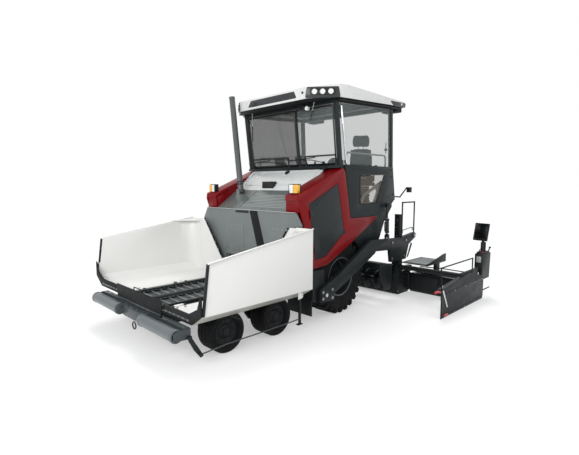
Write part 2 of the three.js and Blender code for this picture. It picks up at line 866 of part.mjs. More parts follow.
// The space round a rear wheel: inner wall, cover, front and rear walls and the outer side.
function wheelHouse() {
  const wallIn = WHEEL_HOUSE_IN - WALL_PLATE - 5;
  const wallOut = WHEEL_HOUSE_IN - 5;
  const under = PLATFORM_Z - FLOOR_PLATE - SEAT_GAP;
  const foot = ENGINE_FLOOR + SEAT_GAP;
  const house = join(
    block(wallIn, wallOut, BULKHEAD_Y + 31, ENGINE_ROOM_REAR, foot, under),
    block(wallIn, wallOut, WHEEL_HOUSE_FRONT, BULKHEAD_Y + 40, foot, FENDER_Z + 10),
    block(wallIn, CAB_HALF, WHEEL_HOUSE_FRONT, WHEEL_HOUSE_REAR, FENDER_Z, FENDER_Z + WALL_PLATE),
    block(wallIn, CAB_HALF, WHEEL_HOUSE_FRONT, WHEEL_HOUSE_FRONT + WALL_PLATE, 1045, FENDER_Z + 10),
    block(wallIn, CAB_HALF - 5, ENGINE_ROOM_REAR - WALL_PLATE, ENGINE_ROOM_REAR, FENDER_Z + 10, under),
    skirt(),
  );
  const low = block(0, WHEEL_HOUSE_IN + 60, WHEEL_HOUSE_FRONT - 60, WHEEL_HOUSE_REAR + 80, 900, foot);
  return cut(house, low);
}

// The dark wheel-arch side below the red frame and the panel that narrows down to the tow arm.
function skirt() {
  const arch = [];
  const reach = REAR_TYRE_R + 45;
  for (let step = 0; step <= 6; step += 1) {
    const angle = THREE.MathUtils.degToRad(112 - step * 14);
    arch.push([reach * Math.cos(angle), REAR_TYRE_R + reach * Math.sin(angle)]);
  }
  const outline = [
    ...arch,
    [reach + 140, 1000],
    [1130, 1180],
    [1200, 1300],
    [1330, 1560],
    [1600, 1850],
    [1600, PLATFORM_Z],
    [-60, PLATFORM_Z],
    [-260, FENDER_Z + 20],
  ];
  return alongX(outline, CAB_HALF - 20, SKIRT_OUT);
}

const PANEL_OUT = BODY_OUT - 5;

function cabSidePanel() {
  const outline = [
    [18, 2596],
    [190, 1704],
    [1040, 1704],
    [1330, 1760],
    [1660, 2000],
    [1556, 2640],
    [18, 2640],
  ];
  const window = [
    [446, 2466],
    [461, 1941],
    [1015, 1942],
    [1270, 2490],
  ];
  return alongX(outline, BODY_IN, PANEL_OUT, [window]);
}

const A_LOW = [-54, SILL_Z];
const A_HIGH = [-185, 3690];
const C_LOW = [1570, SILL_Z];
const C_HIGH = [1520, 3760];
const GLASS_HALF = CAB_HALF - 70;
const GLASS_SPLIT = 235; // where the two windscreens meet

function roofLowAt(y) {
  return (
    ROOF_LOW_FRONT + ((y - ROOF_FRONT) * (ROOF_LOW_REAR - ROOF_LOW_FRONT)) / (ROOF_REAR - ROOF_FRONT)
  );
}

function post(low, high, depth) {
  return alongX(
    [
      [low[0] - depth / 2, low[1]],
      [low[0] + depth / 2, low[1]],
      [high[0] + depth / 2, high[1]],
      [high[0] - depth / 2, high[1]],
    ],
    CAB_HALF - POST + 10,
    CAB_HALF + 10,
  );
}

function cabFrame() {
  const top = (y) => roofLowAt(y) - SEAT_GAP;
  const header = [
    [-215, top(-215) - POST],
    [-215, top(-215)],
    [1560, top(1560)],
    [1560, top(1560) - POST],
  ];
  const cowl = [
    [-200, 2535],
    [-200, 2560],
    [-120, SILL_Z + 20],
    [-110, SILL_Z - 20],
  ];
  const neckX = CAB_HALF - 5;
  const neck = [
    [neckX, 1590, 2060],
    [neckX, 1940, 2040],
    [neckX, 2210, 2230],
    [neckX, 2300, 2225],
  ];
  const left = [
    post(A_LOW, A_HIGH, 70),
    post(C_LOW, C_HIGH, 80),
    alongX(header, CAB_HALF - POST + 10, CAB_HALF + 10),
    block(CAB_HALF - POST + 10, CAB_HALF + 10, -80, 1600, SILL_Z - 22, SILL_Z + 20),
    block(CAB_HALF - POST + 10, CAB_HALF + 10, 1540, 1600, PLATFORM_Z + SEAT_GAP, SILL_Z),
    block(CAB_HALF - POST + 10, CAB_HALF + 10, 0, 55, PLATFORM_Z + SEAT_GAP, SILL_Z),
    rail(neck, 14, 6),
    block(neckX - 45, neckX + 45, 2285, 2345, 2130, 2240),
  ];
  const across = [
    block(-CAB_HALF, CAB_HALF, -215, -155, top(-185) - 70, top(-185) - 3),
    block(-CAB_HALF, CAB_HALF, 1500, 1560, top(1530) - 70, top(1530) - 3),
    block(-CAB_HALF, CAB_HALF, -125, -25, SILL_Z - 22, SILL_Z + 20),
    alongX(cowl, -HOOD_HALF, HOOD_HALF),
  ];
  const guardTop = SILL_Z + 200;
  const guards = [
    [-CAB_HALF + 150, 0],
    [450, CAB_HALF - 50],
  ].map(([from, to]) =>
    rail(
      [
        [from, -108, SILL_Z],
        [from, -150, guardTop],
        [to, -150, guardTop],
        [to, -108, SILL_Z],
      ],
      14,
      6,
    ),
  );
  return join(across, guards, left, left.map(mirrored));
}

function onWindscreen(z) {
  return A_LOW[0] + ((z - A_LOW[1]) * (A_HIGH[0] - A_LOW[0])) / (A_HIGH[1] - A_LOW[1]);
}

function windscreen(from, to) {
  const low = SILL_Z + 20 + SEAT_GAP;
  const high = roofLowAt(-185) - SEAT_GAP - 75;
  const outline = [
    [onWindscreen(low) - 14, low],
    [onWindscreen(low) - 4, low],
    [onWindscreen(high) - 4, high],
    [onWindscreen(high) - 14, high],
  ];
  return alongX(outline, from, to);
}

function sideWindow() {
  const low = SILL_Z + 20 + SEAT_GAP;
  const high = roofLowAt(0) - POST - 2 * SEAT_GAP;
  const highRear = roofLowAt(1450) - POST - 2 * SEAT_GAP;
  const outline = [
    [onWindscreen(low) + 40, low],
    [1520, low],
    [1474, highRear],
    [onWindscreen(high) + 40, roofLowAt(onWindscreen(high) + 40) - POST - 2 * SEAT_GAP],
  ];
  return alongX(outline, CAB_HALF - 8, CAB_HALF);
}

function roof() {
  const outline = [
    [ROOF_FRONT, roofLowAt(ROOF_FRONT)],
    [ROOF_REAR, roofLowAt(ROOF_REAR)],
    [ROOF_REAR, ROOF_TOP - 35],
    [900, ROOF_TOP - 12],
    [0, ROOF_TOP],
    [-300, ROOF_TOP - 20],
    [ROOF_FRONT, ROOF_TOP - 60],
  ];
  const slab = alongX(outline, -ROOF_HALF, ROOF_HALF);
  const plan = alongZ(
    [
      [-ROOF_HALF + ROOF_LAMP_X, ROOF_FRONT],
      [ROOF_HALF - ROOF_LAMP_X, ROOF_FRONT],
      [ROOF_HALF, ROOF_FRONT + ROOF_LAMP_Y],
      [ROOF_HALF, ROOF_REAR - ROOF_CORNER],
      [ROOF_HALF - ROOF_CORNER, ROOF_REAR],
      [-ROOF_HALF + ROOF_CORNER, ROOF_REAR],
      [-ROOF_HALF, ROOF_REAR - ROOF_CORNER],
      [-ROOF_HALF, ROOF_FRONT + ROOF_LAMP_Y],
    ],
    3600,
    4100,
  );
  const recess = block(-CAB_HALF + 60, CAB_HALF - 60, -130, 1480, 3600, ROOF_TOP - 100);
  return cut(slab.intersect(plan), recess);
}

function consoleDesk() {
  const z = PLATFORM_Z + SEAT_GAP;
  const desk = alongX(
    [
      [0, 2470],
      [0, 2590],
      [50, 2670],
      [150, 2640],
      [420, 2520],
      [430, 2440],
      [60, 2400],
    ],
    -CAB_HALF + 100,
    CAB_HALF - 100,
  );
  const legs = [-700, 700].map((x) => block(x - 160, x + 160, 20, 200, z, 2450));
  const column = bar([700, 330, 2480], [700, 460, 2640], 24, 12);
  const wheel = bar([700, 452, 2630], [700, 470, 2652], 190, 24);
  return join(desk, legs, column, wheel);
}

// Turns a body about the upright line through (x, y).
function swivelled(body, degrees, x, y) {
  const geometry = geometryOf(body);
  geometry.translate(-x, -y, 0);
  geometry.rotateZ((degrees * Math.PI) / 180);
  geometry.translate(x, y, 0);
  return solid(geometry);
}

const SEAT_X = 780;
const SEAT_Y = 1160; // the swivel's middle
const SEAT_TURN = 40; // degrees, towards the machine's left

function operatorSeat() {
  const [x, y] = [SEAT_X, SEAT_Y];
  const back = alongX(
    [
      [y + 160, 2430],
      [y + 290, 2430],
      [y + 350, 3010],
      [y + 260, 3030],
    ],
    x - 235,
    x + 235,
  );
  const head = alongX(
    [
      [y + 265, 3000],
      [y + 345, 3000],
      [y + 365, 3310],
      [y + 285, 3310],
    ],
    x - 150,
    x + 150,
  );
  const seat = join(
    block(x - 200, x + 200, y - 200, y + 220, PLATFORM_Z + SEAT_GAP, 2340),
    block(x - 260, x + 260, y - 280, y + 280, 2330, 2470),
    back,
    head,
  );
  return swivelled(seat, SEAT_TURN, x, y);
}

// ---- Screed -------------------------------------------------------------------------------

function towArm() {
  const outline = [
    [-756, 582],
    [-753, 372],
    [-391, 355],
    [-385, 472],
    [-52, 612],
    [807, 1004],
    [840, 1040],
    [1349, 1010],
    [1395, 760],
    [1955, 760],
    [2069, 1056],
    [2370, 1200],
    [2370, 1250],
    [2310, 1285],
    [2240, 1280],
    [1744, 1219],
    [682, 1265],
    [-317, 749],
  ];
  const plate = alongX(outline, ARM_IN, ARM_OUT);
  const boreR = TOW_PIN_R + RUN_GAP;
  const bore = barX(ARM_IN - 10, ARM_OUT + 10, TOW_Y, TOW_Z, boreR, SHAFT_SIDES);
  const [y, z] = LIFT_LOW;
  const base = 1200;
  const ears = [
    [ARM_IN, ARM_IN + 10],
    [ARM_OUT - 10, ARM_OUT],
  ].map(([from, to]) => alongX(lugOutline(y, base, z, 34), from, to));
  const pin = barX(ARM_IN + 2, ARM_OUT - 2, y, z, LIFT_PIN_R);
  const handrail = rail(
    [
      [LIFT_X, 1830, 1200],
      [LIFT_X, 1830, HANDRAIL_TOP],
      [LIFT_X, 2320, HANDRAIL_TOP],
      [LIFT_X, 2320, 1250],
    ],
    15,
  );
  return join(cut(plate, bore), ears, pin, handrail);
}

// A lug that stands on base and is round above its pin.
function lugOutline(y, base, pinZ, radius) {
  const outline = [[y - radius, base]];
  for (let step = 8; step >= 0; step -= 1) {
    const angle = (Math.PI * step) / 8;
    outline.push([y + radius * Math.cos(angle), pinZ + radius * Math.sin(angle)]);
  }
  outline.push([y + radius, base]);
  return outline;
}

function liftAxis() {
  const along = new THREE.Vector2(LIFT_HIGH[0] - LIFT_LOW[0], LIFT_HIGH[1] - LIFT_LOW[1]);
  return along.normalize();
}

function onLift(distance) {
  const axis = liftAxis();
  return [LIFT_X, LIFT_LOW[0] + axis.x * distance, LIFT_LOW[1] + axis.y * distance];
}

function liftCylinder() {
  const eye = barX(LIFT_X - 22, LIFT_X + 22, LIFT_LOW[0], LIFT_LOW[1], LIFT_PIN_R + 14);
  const neck = bar(onLift(22), onLift(60), LIFT_PIN_R, PIN_SIDES);
  const barrel = bar(onLift(50), onLift(BARREL_LENGTH), BARREL_R, PIN_SIDES);
  const pinHole = barX(LIFT_X - 60, LIFT_X + 60, LIFT_LOW[0], LIFT_LOW[1], LIFT_PIN_R + RUN_GAP);
  const rodHole = bar(onLift(75), onLift(BARREL_LENGTH + 20), LIFT_ROD_R + RUN_GAP, PIN_SIDES);
  return cut(join(eye, neck, barrel), pinHole, rodHole);
}

function liftLength() {
  return Math.hypot(LIFT_HIGH[0] - LIFT_LOW[0], LIFT_HIGH[1] - LIFT_LOW[1]);
}

function liftRod() {
  const length = liftLength();
  const boreR = LIFT_TOP_PIN_R + EYE_DRIFT;
  const eye = barX(LIFT_X - 22, LIFT_X + 22, LIFT_HIGH[0], LIFT_HIGH[1], boreR + 12);
  const rod = bar(onLift(BARREL_LENGTH - 25), onLift(length - 20), LIFT_ROD_R, PIN_SIDES);
  const hole = barX(LIFT_X - 60, LIFT_X + 60, LIFT_HIGH[0], LIFT_HIGH[1], boreR);
  return cut(join(eye, rod), hole);
}

// The bracket on the body that holds the rod's eye.
function liftBracket() {
  const [y, z] = LIFT_HIGH;
  return [
    block(PANEL_OUT - 5, LIFT_X - 30, y - 45, y + 45, z - 45, z + 45),
    barX(LIFT_X - 40, LIFT_X + 32, y, z, LIFT_TOP_PIN_R),
  ];
}

function mainScreed() {
  const wall = 40;
  const trough = alongX(
    [
      [SCREED_FRONT, SCREED_LOW + 60],
      [SCREED_FRONT + 40, SCREED_LOW],
      [SCREED_REAR, SCREED_LOW],
      [SCREED_REAR, SCREED_TOP],
      [SCREED_REAR - wall, SCREED_TOP],
      [SCREED_REAR - wall, SCREED_LOW + wall],
      [SCREED_FRONT + wall, SCREED_LOW + wall + 20],
      [SCREED_FRONT + wall, SCREED_TOP],
      [SCREED_FRONT, SCREED_TOP],
    ],
    -SCREED_HALF,
    SCREED_HALF,
  );
  const [y1, z1] = SLIDE_FRONT;
  const [y2, z2] = SLIDE_REAR;
  const left = [
    block(SCREED_HALF - 60, SCREED_HALF, SCREED_FRONT, SCREED_REAR, SCREED_LOW + 20, SCREED_TOP),
    block(SCREED_HALF - 90, SCREED_HALF, y1 - 62, y1 + 62, SCREED_TOP - 60, z1 + 62),
    block(SCREED_HALF - 90, SCREED_HALF, SCREED_REAR - 30, y2 + 62, z2 - 70, z2 + 62),
    block(SCREED_HALF - 40, ARM_IN - SEAT_GAP, 1800, 1940, SCREED_TOP - 40, 960),
    block(SCREED_HALF - 180, SCREED_HALF, 1850, 1950, 600, 1150),
    block(SCREED_HALF - 140, SCREED_HALF - 20, 1855, 1945, 1100, 1670),
  ];
  const bores = [
    barX(SCREED_HALF - 200, SCREED_HALF + 30, y1, z1, SLIDE_R + RUN_GAP),
    barX(SCREED_HALF - 200, SCREED_HALF + 30, y2, z2, SLIDE_R + RUN_GAP),
  ];
  const beam = block(-SCREED_HALF + 10, SCREED_HALF - 10, 1910, 1970, SCREED_LOW + 30, 600);
  return cut(join(trough, beam, left, left.map(mirrored)), bores, bores.map(mirrored));
}

const TRAY_Z = 650;
const TRAY_IN = SCREED_HALF - 32;
const TRAY_OUT = TRAY_IN + 575;
const TRAY_FRONT = 2000;
const TRAY_REAR = 2850;

function extensionBody() {
  const wall = 30;
  const trough = alongX(
    [
      [EXT_FRONT, SCREED_LOW + 40],
      [EXT_FRONT + 30, SCREED_LOW],
      [EXT_REAR, SCREED_LOW],
      [EXT_REAR, EXT_TOP],
      [EXT_REAR - wall, EXT_TOP],
      [EXT_REAR - wall, SCREED_LOW + wall],
      [EXT_FRONT + wall, SCREED_LOW + wall + 15],
      [EXT_FRONT + wall, EXT_TOP],
      [EXT_FRONT, EXT_TOP],
    ],
    EXT_IN,
    EXT_OUT,
  );
  const endFrame = block(EXT_OUT - 40, EXT_OUT, 1775, EXT_REAR, 60, 660);
  const slides = [SLIDE_FRONT, SLIDE_REAR].map(([y, z]) =>
    barX(SCREED_HALF - 40, EXT_OUT - 10, y, z, SLIDE_R),
  );
  return [trough, endFrame, ...slides];
}

function extensionWalkway() {
  return [
    block(TRAY_IN, TRAY_OUT, TRAY_FRONT, TRAY_REAR, TRAY_Z, TRAY_Z + 20),
    alongX(
      [
        [TRAY_FRONT, TRAY_Z],
        [TRAY_REAR, TRAY_Z],
        [TRAY_REAR, TRAY_Z + 170],
        [TRAY_REAR - 80, TRAY_Z + 170],
        [TRAY_FRONT, TRAY_Z + 30],
      ],
      TRAY_OUT - 20,
      TRAY_OUT,
    ),
    block(TRAY_OUT - 60, TRAY_OUT, SLIDE_REAR[0] + 85, EXT_REAR, EXT_TOP - 20, TRAY_Z + 10),
  ];
}

function endPlate() {
  const inner = END_PLATE_OUT - END_PLATE_T;
  const plate = alongX(
    [
      [END_PLATE_FRONT, SCREED_LOW],
      [END_PLATE_REAR - 60, SCREED_LOW],
      [END_PLATE_REAR, SCREED_LOW + 60],
      [END_PLATE_REAR, 385],
      [END_PLATE_FRONT + 30, 440],
      [END_PLATE_FRONT, 420],
    ],
    inner,
    END_PLATE_OUT,
  );
  const channel = alongX(
    [
      [END_PLATE_FRONT + 10, 430],
      [2790, 380],
      [2790, 470],
      [2100, 637],
      [END_PLATE_FRONT + 10, 519],
    ],
    inner - 70,
    END_PLATE_OUT,
  );
  const spacer = block(EXT_OUT - 10, inner + 5, 2100, EXT_REAR - 20, 120, 380);
  return [plate, channel, spacer];
}

function extensionControls() {
  const x = END_PLATE_OUT - END_PLATE_T;
  const stemX = END_PLATE_OUT - 80;
  const box = block(END_PLATE_OUT - 160, END_PLATE_OUT, 2700, 3110, 390, 910);
  const cap = block(END_PLATE_OUT - 140, x, 2720, 3090, 905, 940);
  const stem = bar([stemX, 2905, 930], [stemX, 2905, 1130], 50, 12);
  const panel = new THREE.BoxGeometry(300, 34, 360);
  panel.rotateX(THREE.MathUtils.degToRad(-12));
  panel.rotateZ(THREE.MathUtils.degToRad(-12));
  panel.translate(stemX - 80, 2990, 1325);
  const neck = bar([stemX, 2905, 1080], [stemX - 40, 2985, 1240], 28, 10);
  const stow = barY(2740, STOW_ROD_REAR, END_PLATE_OUT - 26, 163, 12, 10);
  const guard = rail(
    [
      [x, 930, 500],
      [x, 885, 894],
      [x, 2225, 895],
      [x, 2225, 560],
    ],
    13,
  );
  return [box, cap, stem, solid(panel), neck, stow, guard];
}

function screedExtension() {
  return join(extensionBody(), extensionWalkway(), endPlate(), extensionControls());
}

const FLIGHT_PITCH = 230;
const FLIGHT_PLATE = 16;

function auger() {
  const shaft = 55;
  const profile = [[AUGER_IN, 0], [AUGER_IN, shaft]];
  const count = Math.floor((AUGER_OUT - AUGER_IN - 60) / FLIGHT_PITCH);
  for (let i = 0; i <= count; i += 1) {
    const from = AUGER_IN + 60 + i * FLIGHT_PITCH;
    profile.push([from, shaft], [from, AUGER_R]);
    profile.push([from + FLIGHT_PLATE, AUGER_R], [from + FLIGHT_PLATE, shaft]);
  }
  profile.push([AUGER_OUT, shaft], [AUGER_OUT, 0]);
  return turned(profile, [0, AUGER_Y, AUGER_Z], PIN_SIDES);
}

function augerBracket() {
  const back = FRAME_REAR + SEAT_GAP;
  const cheek = alongX(
    [
      [back, 560],
      [AUGER_Y - 120, AUGER_Z - 60],
      [AUGER_Y - 60, AUGER_Z - 200],
      [AUGER_Y + 150, AUGER_Z - 200],
      [AUGER_Y + 210, AUGER_Z - 60],
      [AUGER_Y + 210, 700],
      [back, 760],
    ],
    AUGER_OUT + RUN_GAP,
    ARM_IN - MOVE_GAP,
  );
  return join(
    block(-ARM_IN + MOVE_GAP, ARM_IN - MOVE_GAP, back, back + 60, 630, 760),
    block(-AUGER_IN + RUN_GAP, AUGER_IN - RUN_GAP, back, AUGER_Y + 90, AUGER_Z - 80, 720),
    cheek,
    mirrored(cheek),
  );
}

// ---- Assembly -----------------------------------------------------------------------------

const machine = new THREE.Group();
machine.position.y = -(FRONT_END + REAR_END) / 2;

function place(name, body, material) {
  const mesh = new THREE.Mesh(geometryOf(body), material);
  mesh.name = name;
  machine.add(mesh);
}

function placePair(name, body, material) {
  place(`${name}_left`, body, material);
  place(`${name}_right`, mirrored(body), material);
}

place('chassis_frame', chassisFrame(), DARK_PAINT);
place('conveyor_deck', conveyorDeck(), DARK_PAINT);
placePair('bogie_beam', bogieBeam(), DARK_PAINT);
placePair('tow_bracket', towBracket(), DARK_PAINT);
for (const [row, axleY] of [['1', FRONT_AXLE_Y], ['2', SECOND_AXLE_Y]]) {
  placePair(`knuckle_${row}`, knuckle(axleY), DARK_PAINT);
  placePair(`front_wheel_${row}`, frontWheel(axleY), RUBBER);
}
placePair('rear_drive', rearDrive(), DARK_PAINT);
placePair('rear_rim', rearRim(), DARK_PAINT);
placePair('rear_tyre', rearTyre(), RUBBER);

place('push_beam', pushBeam(), DARK_PAINT);
placePair('push_roller', pushRoller(), GREY_PAINT);
place('apron_center', apronCenter(), RUBBER);
placePair('hopper_wing', hopperWing(), WHITE_PAINT);
place('hopper_rear_wall', hopperRearWall(), GREY_PAINT);

place('engine_block', engineBlock(), STEEL);
place('hood_deck', hoodDeck(), GREY_PAINT);
place('hood_lid', hoodLid(), WHITE_PAINT);
place('exhaust_stack', exhaustStack(), GREY_PAINT);
placePair('side_frame', sideFrame(), RED_PAINT);
placePair('side_door', sideDoor(), DARK_PAINT);

place('platform', platform(), DARK_PAINT);
placePair('wheel_house', wheelHouse(), DARK_PAINT);
placePair('cab_side_panel', join(cabSidePanel(), liftBracket()), DARK_PAINT);
place('cab_frame', cabFrame(), DARK_PAINT);
place('windscreen_right', windscreen(-GLASS_HALF, GLASS_SPLIT - 10), GLASS);
place('windscreen_left', windscreen(GLASS_SPLIT + 10, GLASS_HALF), GLASS);
placePair('side_window', sideWindow(), GLASS);
place('roof', roof(), WHITE_PAINT);
place('console_desk', consoleDesk(), PLASTIC);
place('operator_seat', operatorSeat(), PLASTIC);

placePair('tow_arm', towArm(), DARK_PAINT);
placePair('lift_cylinder', liftCylinder(), DARK_PAINT);
placePair('lift_rod', liftRod(), CHROME);
place('main_screed', mainScreed(), DARK_PAINT);
placePair('screed_extension', screedExtension(), DARK_PAINT);
placePair('auger', auger(), STEEL);
place('auger_bracket', augerBracket(), DARK_PAINT);

export default machine;
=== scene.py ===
import json
from math import atan2, cos, pi, radians, sin, tan

import bmesh
import bpy
from mathutils import Matrix, Vector
from mathutils.geometry import tessellate_polygon

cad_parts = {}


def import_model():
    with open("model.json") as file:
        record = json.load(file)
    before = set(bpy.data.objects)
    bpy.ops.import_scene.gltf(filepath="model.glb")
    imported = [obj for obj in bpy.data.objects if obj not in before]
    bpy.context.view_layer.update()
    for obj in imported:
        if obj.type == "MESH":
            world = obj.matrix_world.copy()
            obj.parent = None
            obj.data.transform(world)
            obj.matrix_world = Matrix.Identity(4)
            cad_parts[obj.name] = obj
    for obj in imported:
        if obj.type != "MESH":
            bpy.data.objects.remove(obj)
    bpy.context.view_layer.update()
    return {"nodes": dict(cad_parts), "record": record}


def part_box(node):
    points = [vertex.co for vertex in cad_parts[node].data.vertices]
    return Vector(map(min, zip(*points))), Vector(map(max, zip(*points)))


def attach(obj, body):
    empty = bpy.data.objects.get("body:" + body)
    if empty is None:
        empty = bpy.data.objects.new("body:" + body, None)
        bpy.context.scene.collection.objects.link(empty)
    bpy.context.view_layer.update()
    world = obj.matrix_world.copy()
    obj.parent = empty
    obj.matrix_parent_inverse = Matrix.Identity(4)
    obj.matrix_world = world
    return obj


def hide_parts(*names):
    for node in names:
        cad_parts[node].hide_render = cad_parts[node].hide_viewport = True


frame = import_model()

# Looks of a wheeled asphalt paver. Lengths are metres.


def middle(node):
    low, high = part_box(node)
    return (low + high) / 2


# ---- Sizes ---------------------------------------------------------------------------------

REAR_WHEEL = middle("rear_tyre_left")
AXLE_Y = REAR_WHEEL.y  # from the frame's origin back to the rear axle
TYRE_HALF = (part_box("rear_tyre_left")[1].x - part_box("rear_tyre_left")[0].x) / 2
TYRE_R = REAR_WHEEL.z
RIM_R = 0.345
FRONT_WHEEL = middle("front_wheel_1_left")
FRONT_R = FRONT_WHEEL.z
FRONT_HALF = (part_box("front_wheel_1_left")[1].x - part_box("front_wheel_1_left")[0].x) / 2
FRONT_AXLES = {row: middle(f"front_wheel_{row}_left").y - AXLE_Y for row in ("1", "2")}

BODY_OUT = 1.25
BODY_IN = BODY_OUT - 0.035
RAIL_IN = BODY_IN - 0.265
WALL_Y = -1.18  # front face of the hopper's rear wall
ROLLER = Vector((0, -3.3, 0.46))
ROLLER_R = 0.09

ARM_IN = 1.29
ARM_OUT = 1.36
ARM_MID = (ARM_IN + ARM_OUT) / 2
LIFT_LOW = Vector((ARM_MID, 1.265, 1.3))
LIFT_HIGH = Vector((ARM_MID, 1.25, 1.9))
END_OUT = 2.64
SIDES = (("left", False), ("right", True))

# ---- How shapes are made -------------------------------------------------------------------

SMOOTH_ANGLE = radians(32)  # flatter edges than this are shaded smooth
SHARP_ANGLE = radians(28)  # sharper edges than this are rounded
STRAIGHT_ANGLE = radians(172)  # a corner this open stays as it is
FLAT_ANGLE = radians(0.6)  # faces this level with each other become one
WELD = 3e-5  # points this close become one
MOST_OF_EDGE = 0.48  # how much of an edge one rounded corner may take
ORIGIN = (0, 0, 0)

# ---- Shapes --------------------------------------------------------------------------------


def new_object(name, data):
    made = bpy.data.objects.new(name, data)
    bpy.context.scene.collection.objects.link(made)
    return made


def appended(mesh, part):
    """Moves a part's faces into a mesh that is being built."""
    scratch = bpy.data.meshes.new("scratch")
    part.to_mesh(scratch)
    part.free()
    mesh.from_mesh(scratch)
    bpy.data.meshes.remove(scratch)


class Shape:
    """The faces of one piece, each with the material it was added with."""

    def __init__(self):
        self.mesh = bmesh.new()
        self.materials = []

    def add(self, material, *parts):
        if material not in self.materials:
            self.materials.append(material)
        index = self.materials.index(material)
        for part in parts:
            for face in part.faces:
                face.material_index = index
            appended(self.mesh, part)
        return self


def put(mesh, name, body, stands_for=(), flip=False):
    """Shifts a mesh from the rear axle into the frame and makes it a piece on its body."""
    mesh.transform(Matrix.Translation((0, AXLE_Y, 0)))
    if flip:
        mesh.transform(Matrix.Scale(-1, 4, (1, 0, 0)))
        mesh.flip_normals()
    mesh.polygons.foreach_set("use_smooth", [True] * len(mesh.polygons))
    mesh.set_sharp_from_angle(angle=SMOOTH_ANGLE)
    piece = new_object(name, mesh)
    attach(piece, body)
    if stands_for:
        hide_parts(*stands_for)
    return piece


def finish(shape, name, body, stands_for=(), flip=False):
    mesh = bpy.data.meshes.new(name)
    shape.mesh.to_mesh(mesh)
    shape.mesh.free()
    for material in shape.materials:
        mesh.materials.append(material)
    return put(mesh, name, body, stands_for, flip)


def finish_pair(build, name, body, stands_for=()):
    """The left piece that build() makes, and its mirror image on the right."""
    for side, flip in SIDES:
        nodes = [node.format(side) for node in stands_for]
        finish(build(), f"{name}_{side}", body.format(side), nodes, flip)


def rect(a0, b0, a1, b1):
    """The outline of a rectangle."""
    return [(a0, b0), (a1, b0), (a1, b1), (a0, b1)]


def spot(axis, a, b, c):
    """A point from two outline coordinates and its place along the axis."""
    return {"X": (c, a, b), "Y": (a, c, b), "Z": (a, b, c)}[axis]


def eased(points, radius, looped=True, steps=4):
    """Points with each corner turned into a short curve."""
    points = [Vector(p) for p in points]
    count = len(points)
    made = []
    for i, corner in enumerate(points):
        if not looped and i in (0, count - 1):
            made.append(corner)
            continue
        before = points[i - 1] - corner
        after = points[(i + 1) % count] - corner
        angle = before.angle(after)
        reach = min(radius / tan(angle / 2), before.length * MOST_OF_EDGE, after.length * MOST_OF_EDGE)
        if angle > STRAIGHT_ANGLE or reach <= 0:
            made.append(corner)
            continue
        start = corner + before.normalized() * reach
        end = corner + after.normalized() * reach
        for step in range(steps + 1):
            t = step / steps
            made.append(start * (1 - t) ** 2 + corner * 2 * t * (1 - t) + end * t * t)
    return made


def soften(part, width):
    """Rounds the part's sharp edges."""
    if width > 0:
        edges = [e for e in part.edges if len(e.link_faces) == 2 and e.calc_face_angle() > SHARP_ANGLE]
        look = {"segments": 2, "profile": 0.5, "affect": "EDGES", "clamp_overlap": True}
        bmesh.ops.bevel(part, geom=edges, offset=width, **look)
    return part


def prism(axis, outline, start, end, soft=0.004, corner=0.0, holes=()):
    """An outline pulled along an axis, with its holes cut through."""
    part = bmesh.new()
    loops = [eased(loop, corner) if corner else loop for loop in (outline, *holes)]
    rings = []
    for loop in loops:
        low = [part.verts.new(spot(axis, p[0], p[1], start)) for p in loop]
        high = [part.verts.new(spot(axis, p[0], p[1], end)) for p in loop]
        rings.append((low, high))
    all_low = [v for ends in rings for v in ends[0]]
    all_high = [v for ends in rings for v in ends[1]]
    caps = [range(len(all_low))]
    if holes:
        caps = tessellate_polygon([[Vector((p[0], p[1], 0)) for p in loop] for loop in loops])
    for cap in caps:
        part.faces.new([all_low[i] for i in cap])
        part.faces.new([all_high[i] for i in reversed(cap)])
    for low, high in rings:
        for i in range(len(low)):
            part.faces.new((low[i - 1], low[i], high[i], high[i - 1]))
    bmesh.ops.recalc_face_normals(part, faces=part.faces[:])
    return soften(part, soft)


def block(x, y, z, soft=0.004):
    return prism("Z", rect(x[0], y[0], x[1], y[1]), z[0], z[1], soft)


def turn(part, degrees, axis="X"):
    """Turns a part about an axis through the origin."""
    about = Matrix.Rotation(radians(degrees), 3, axis)
    bmesh.ops.rotate(part, verts=part.verts[:], cent=ORIGIN, matrix=about)
    return part


def shift(part, x=0, y=0, z=0):
    bmesh.ops.translate(part, verts=part.verts[:], vec=Vector((x, y, z)))
    return part


def swept(path, section, looped=False):
    """A section of (side, up) points carried along a path without twist."""
    part = bmesh.new()
    path = [Vector(p) for p in path]
    count = len(path)
    normal = (path[1] - path[0]).orthogonal().normalized()
    rings = []
    for i, point in enumerate(path):
        ahead = path[(i + 1) % count] if looped or i + 1 < count else point
        behind = path[i - 1] if looped or i > 0 else point
        tangent = (ahead - behind).normalized()
        normal = (normal - tangent * normal.dot(tangent)).normalized()
        side = tangent.cross(normal)
        rings.append([part.verts.new(point + normal * a + side * b) for a, b in section])
    for i in range(count if looped else count - 1):
        here, there = rings[i], rings[(i + 1) % count]
        for k in range(len(section)):
            part.faces.new((here[k - 1], here[k], there[k], there[k - 1]))
    if not looped:
        part.faces.new(rings[0])
        part.faces.new(list(reversed(rings[-1])))
    bmesh.ops.recalc_face_normals(part, faces=part.faces[:])
    return part


def circle(radius, sides):
    return [(radius * cos(2 * pi * k / sides), radius * sin(2 * pi * k / sides)) for k in range(sides)]


def tube(points, radius, bend=0.0, sides=14):
    path = eased(points, bend, looped=False, steps=6) if bend else points
    return swept(path, circle(radius, sides))


def rod(start, end, radius, sides=20, soft=0.0):
    return soften(tube([start, end], radius, sides=sides), soft)


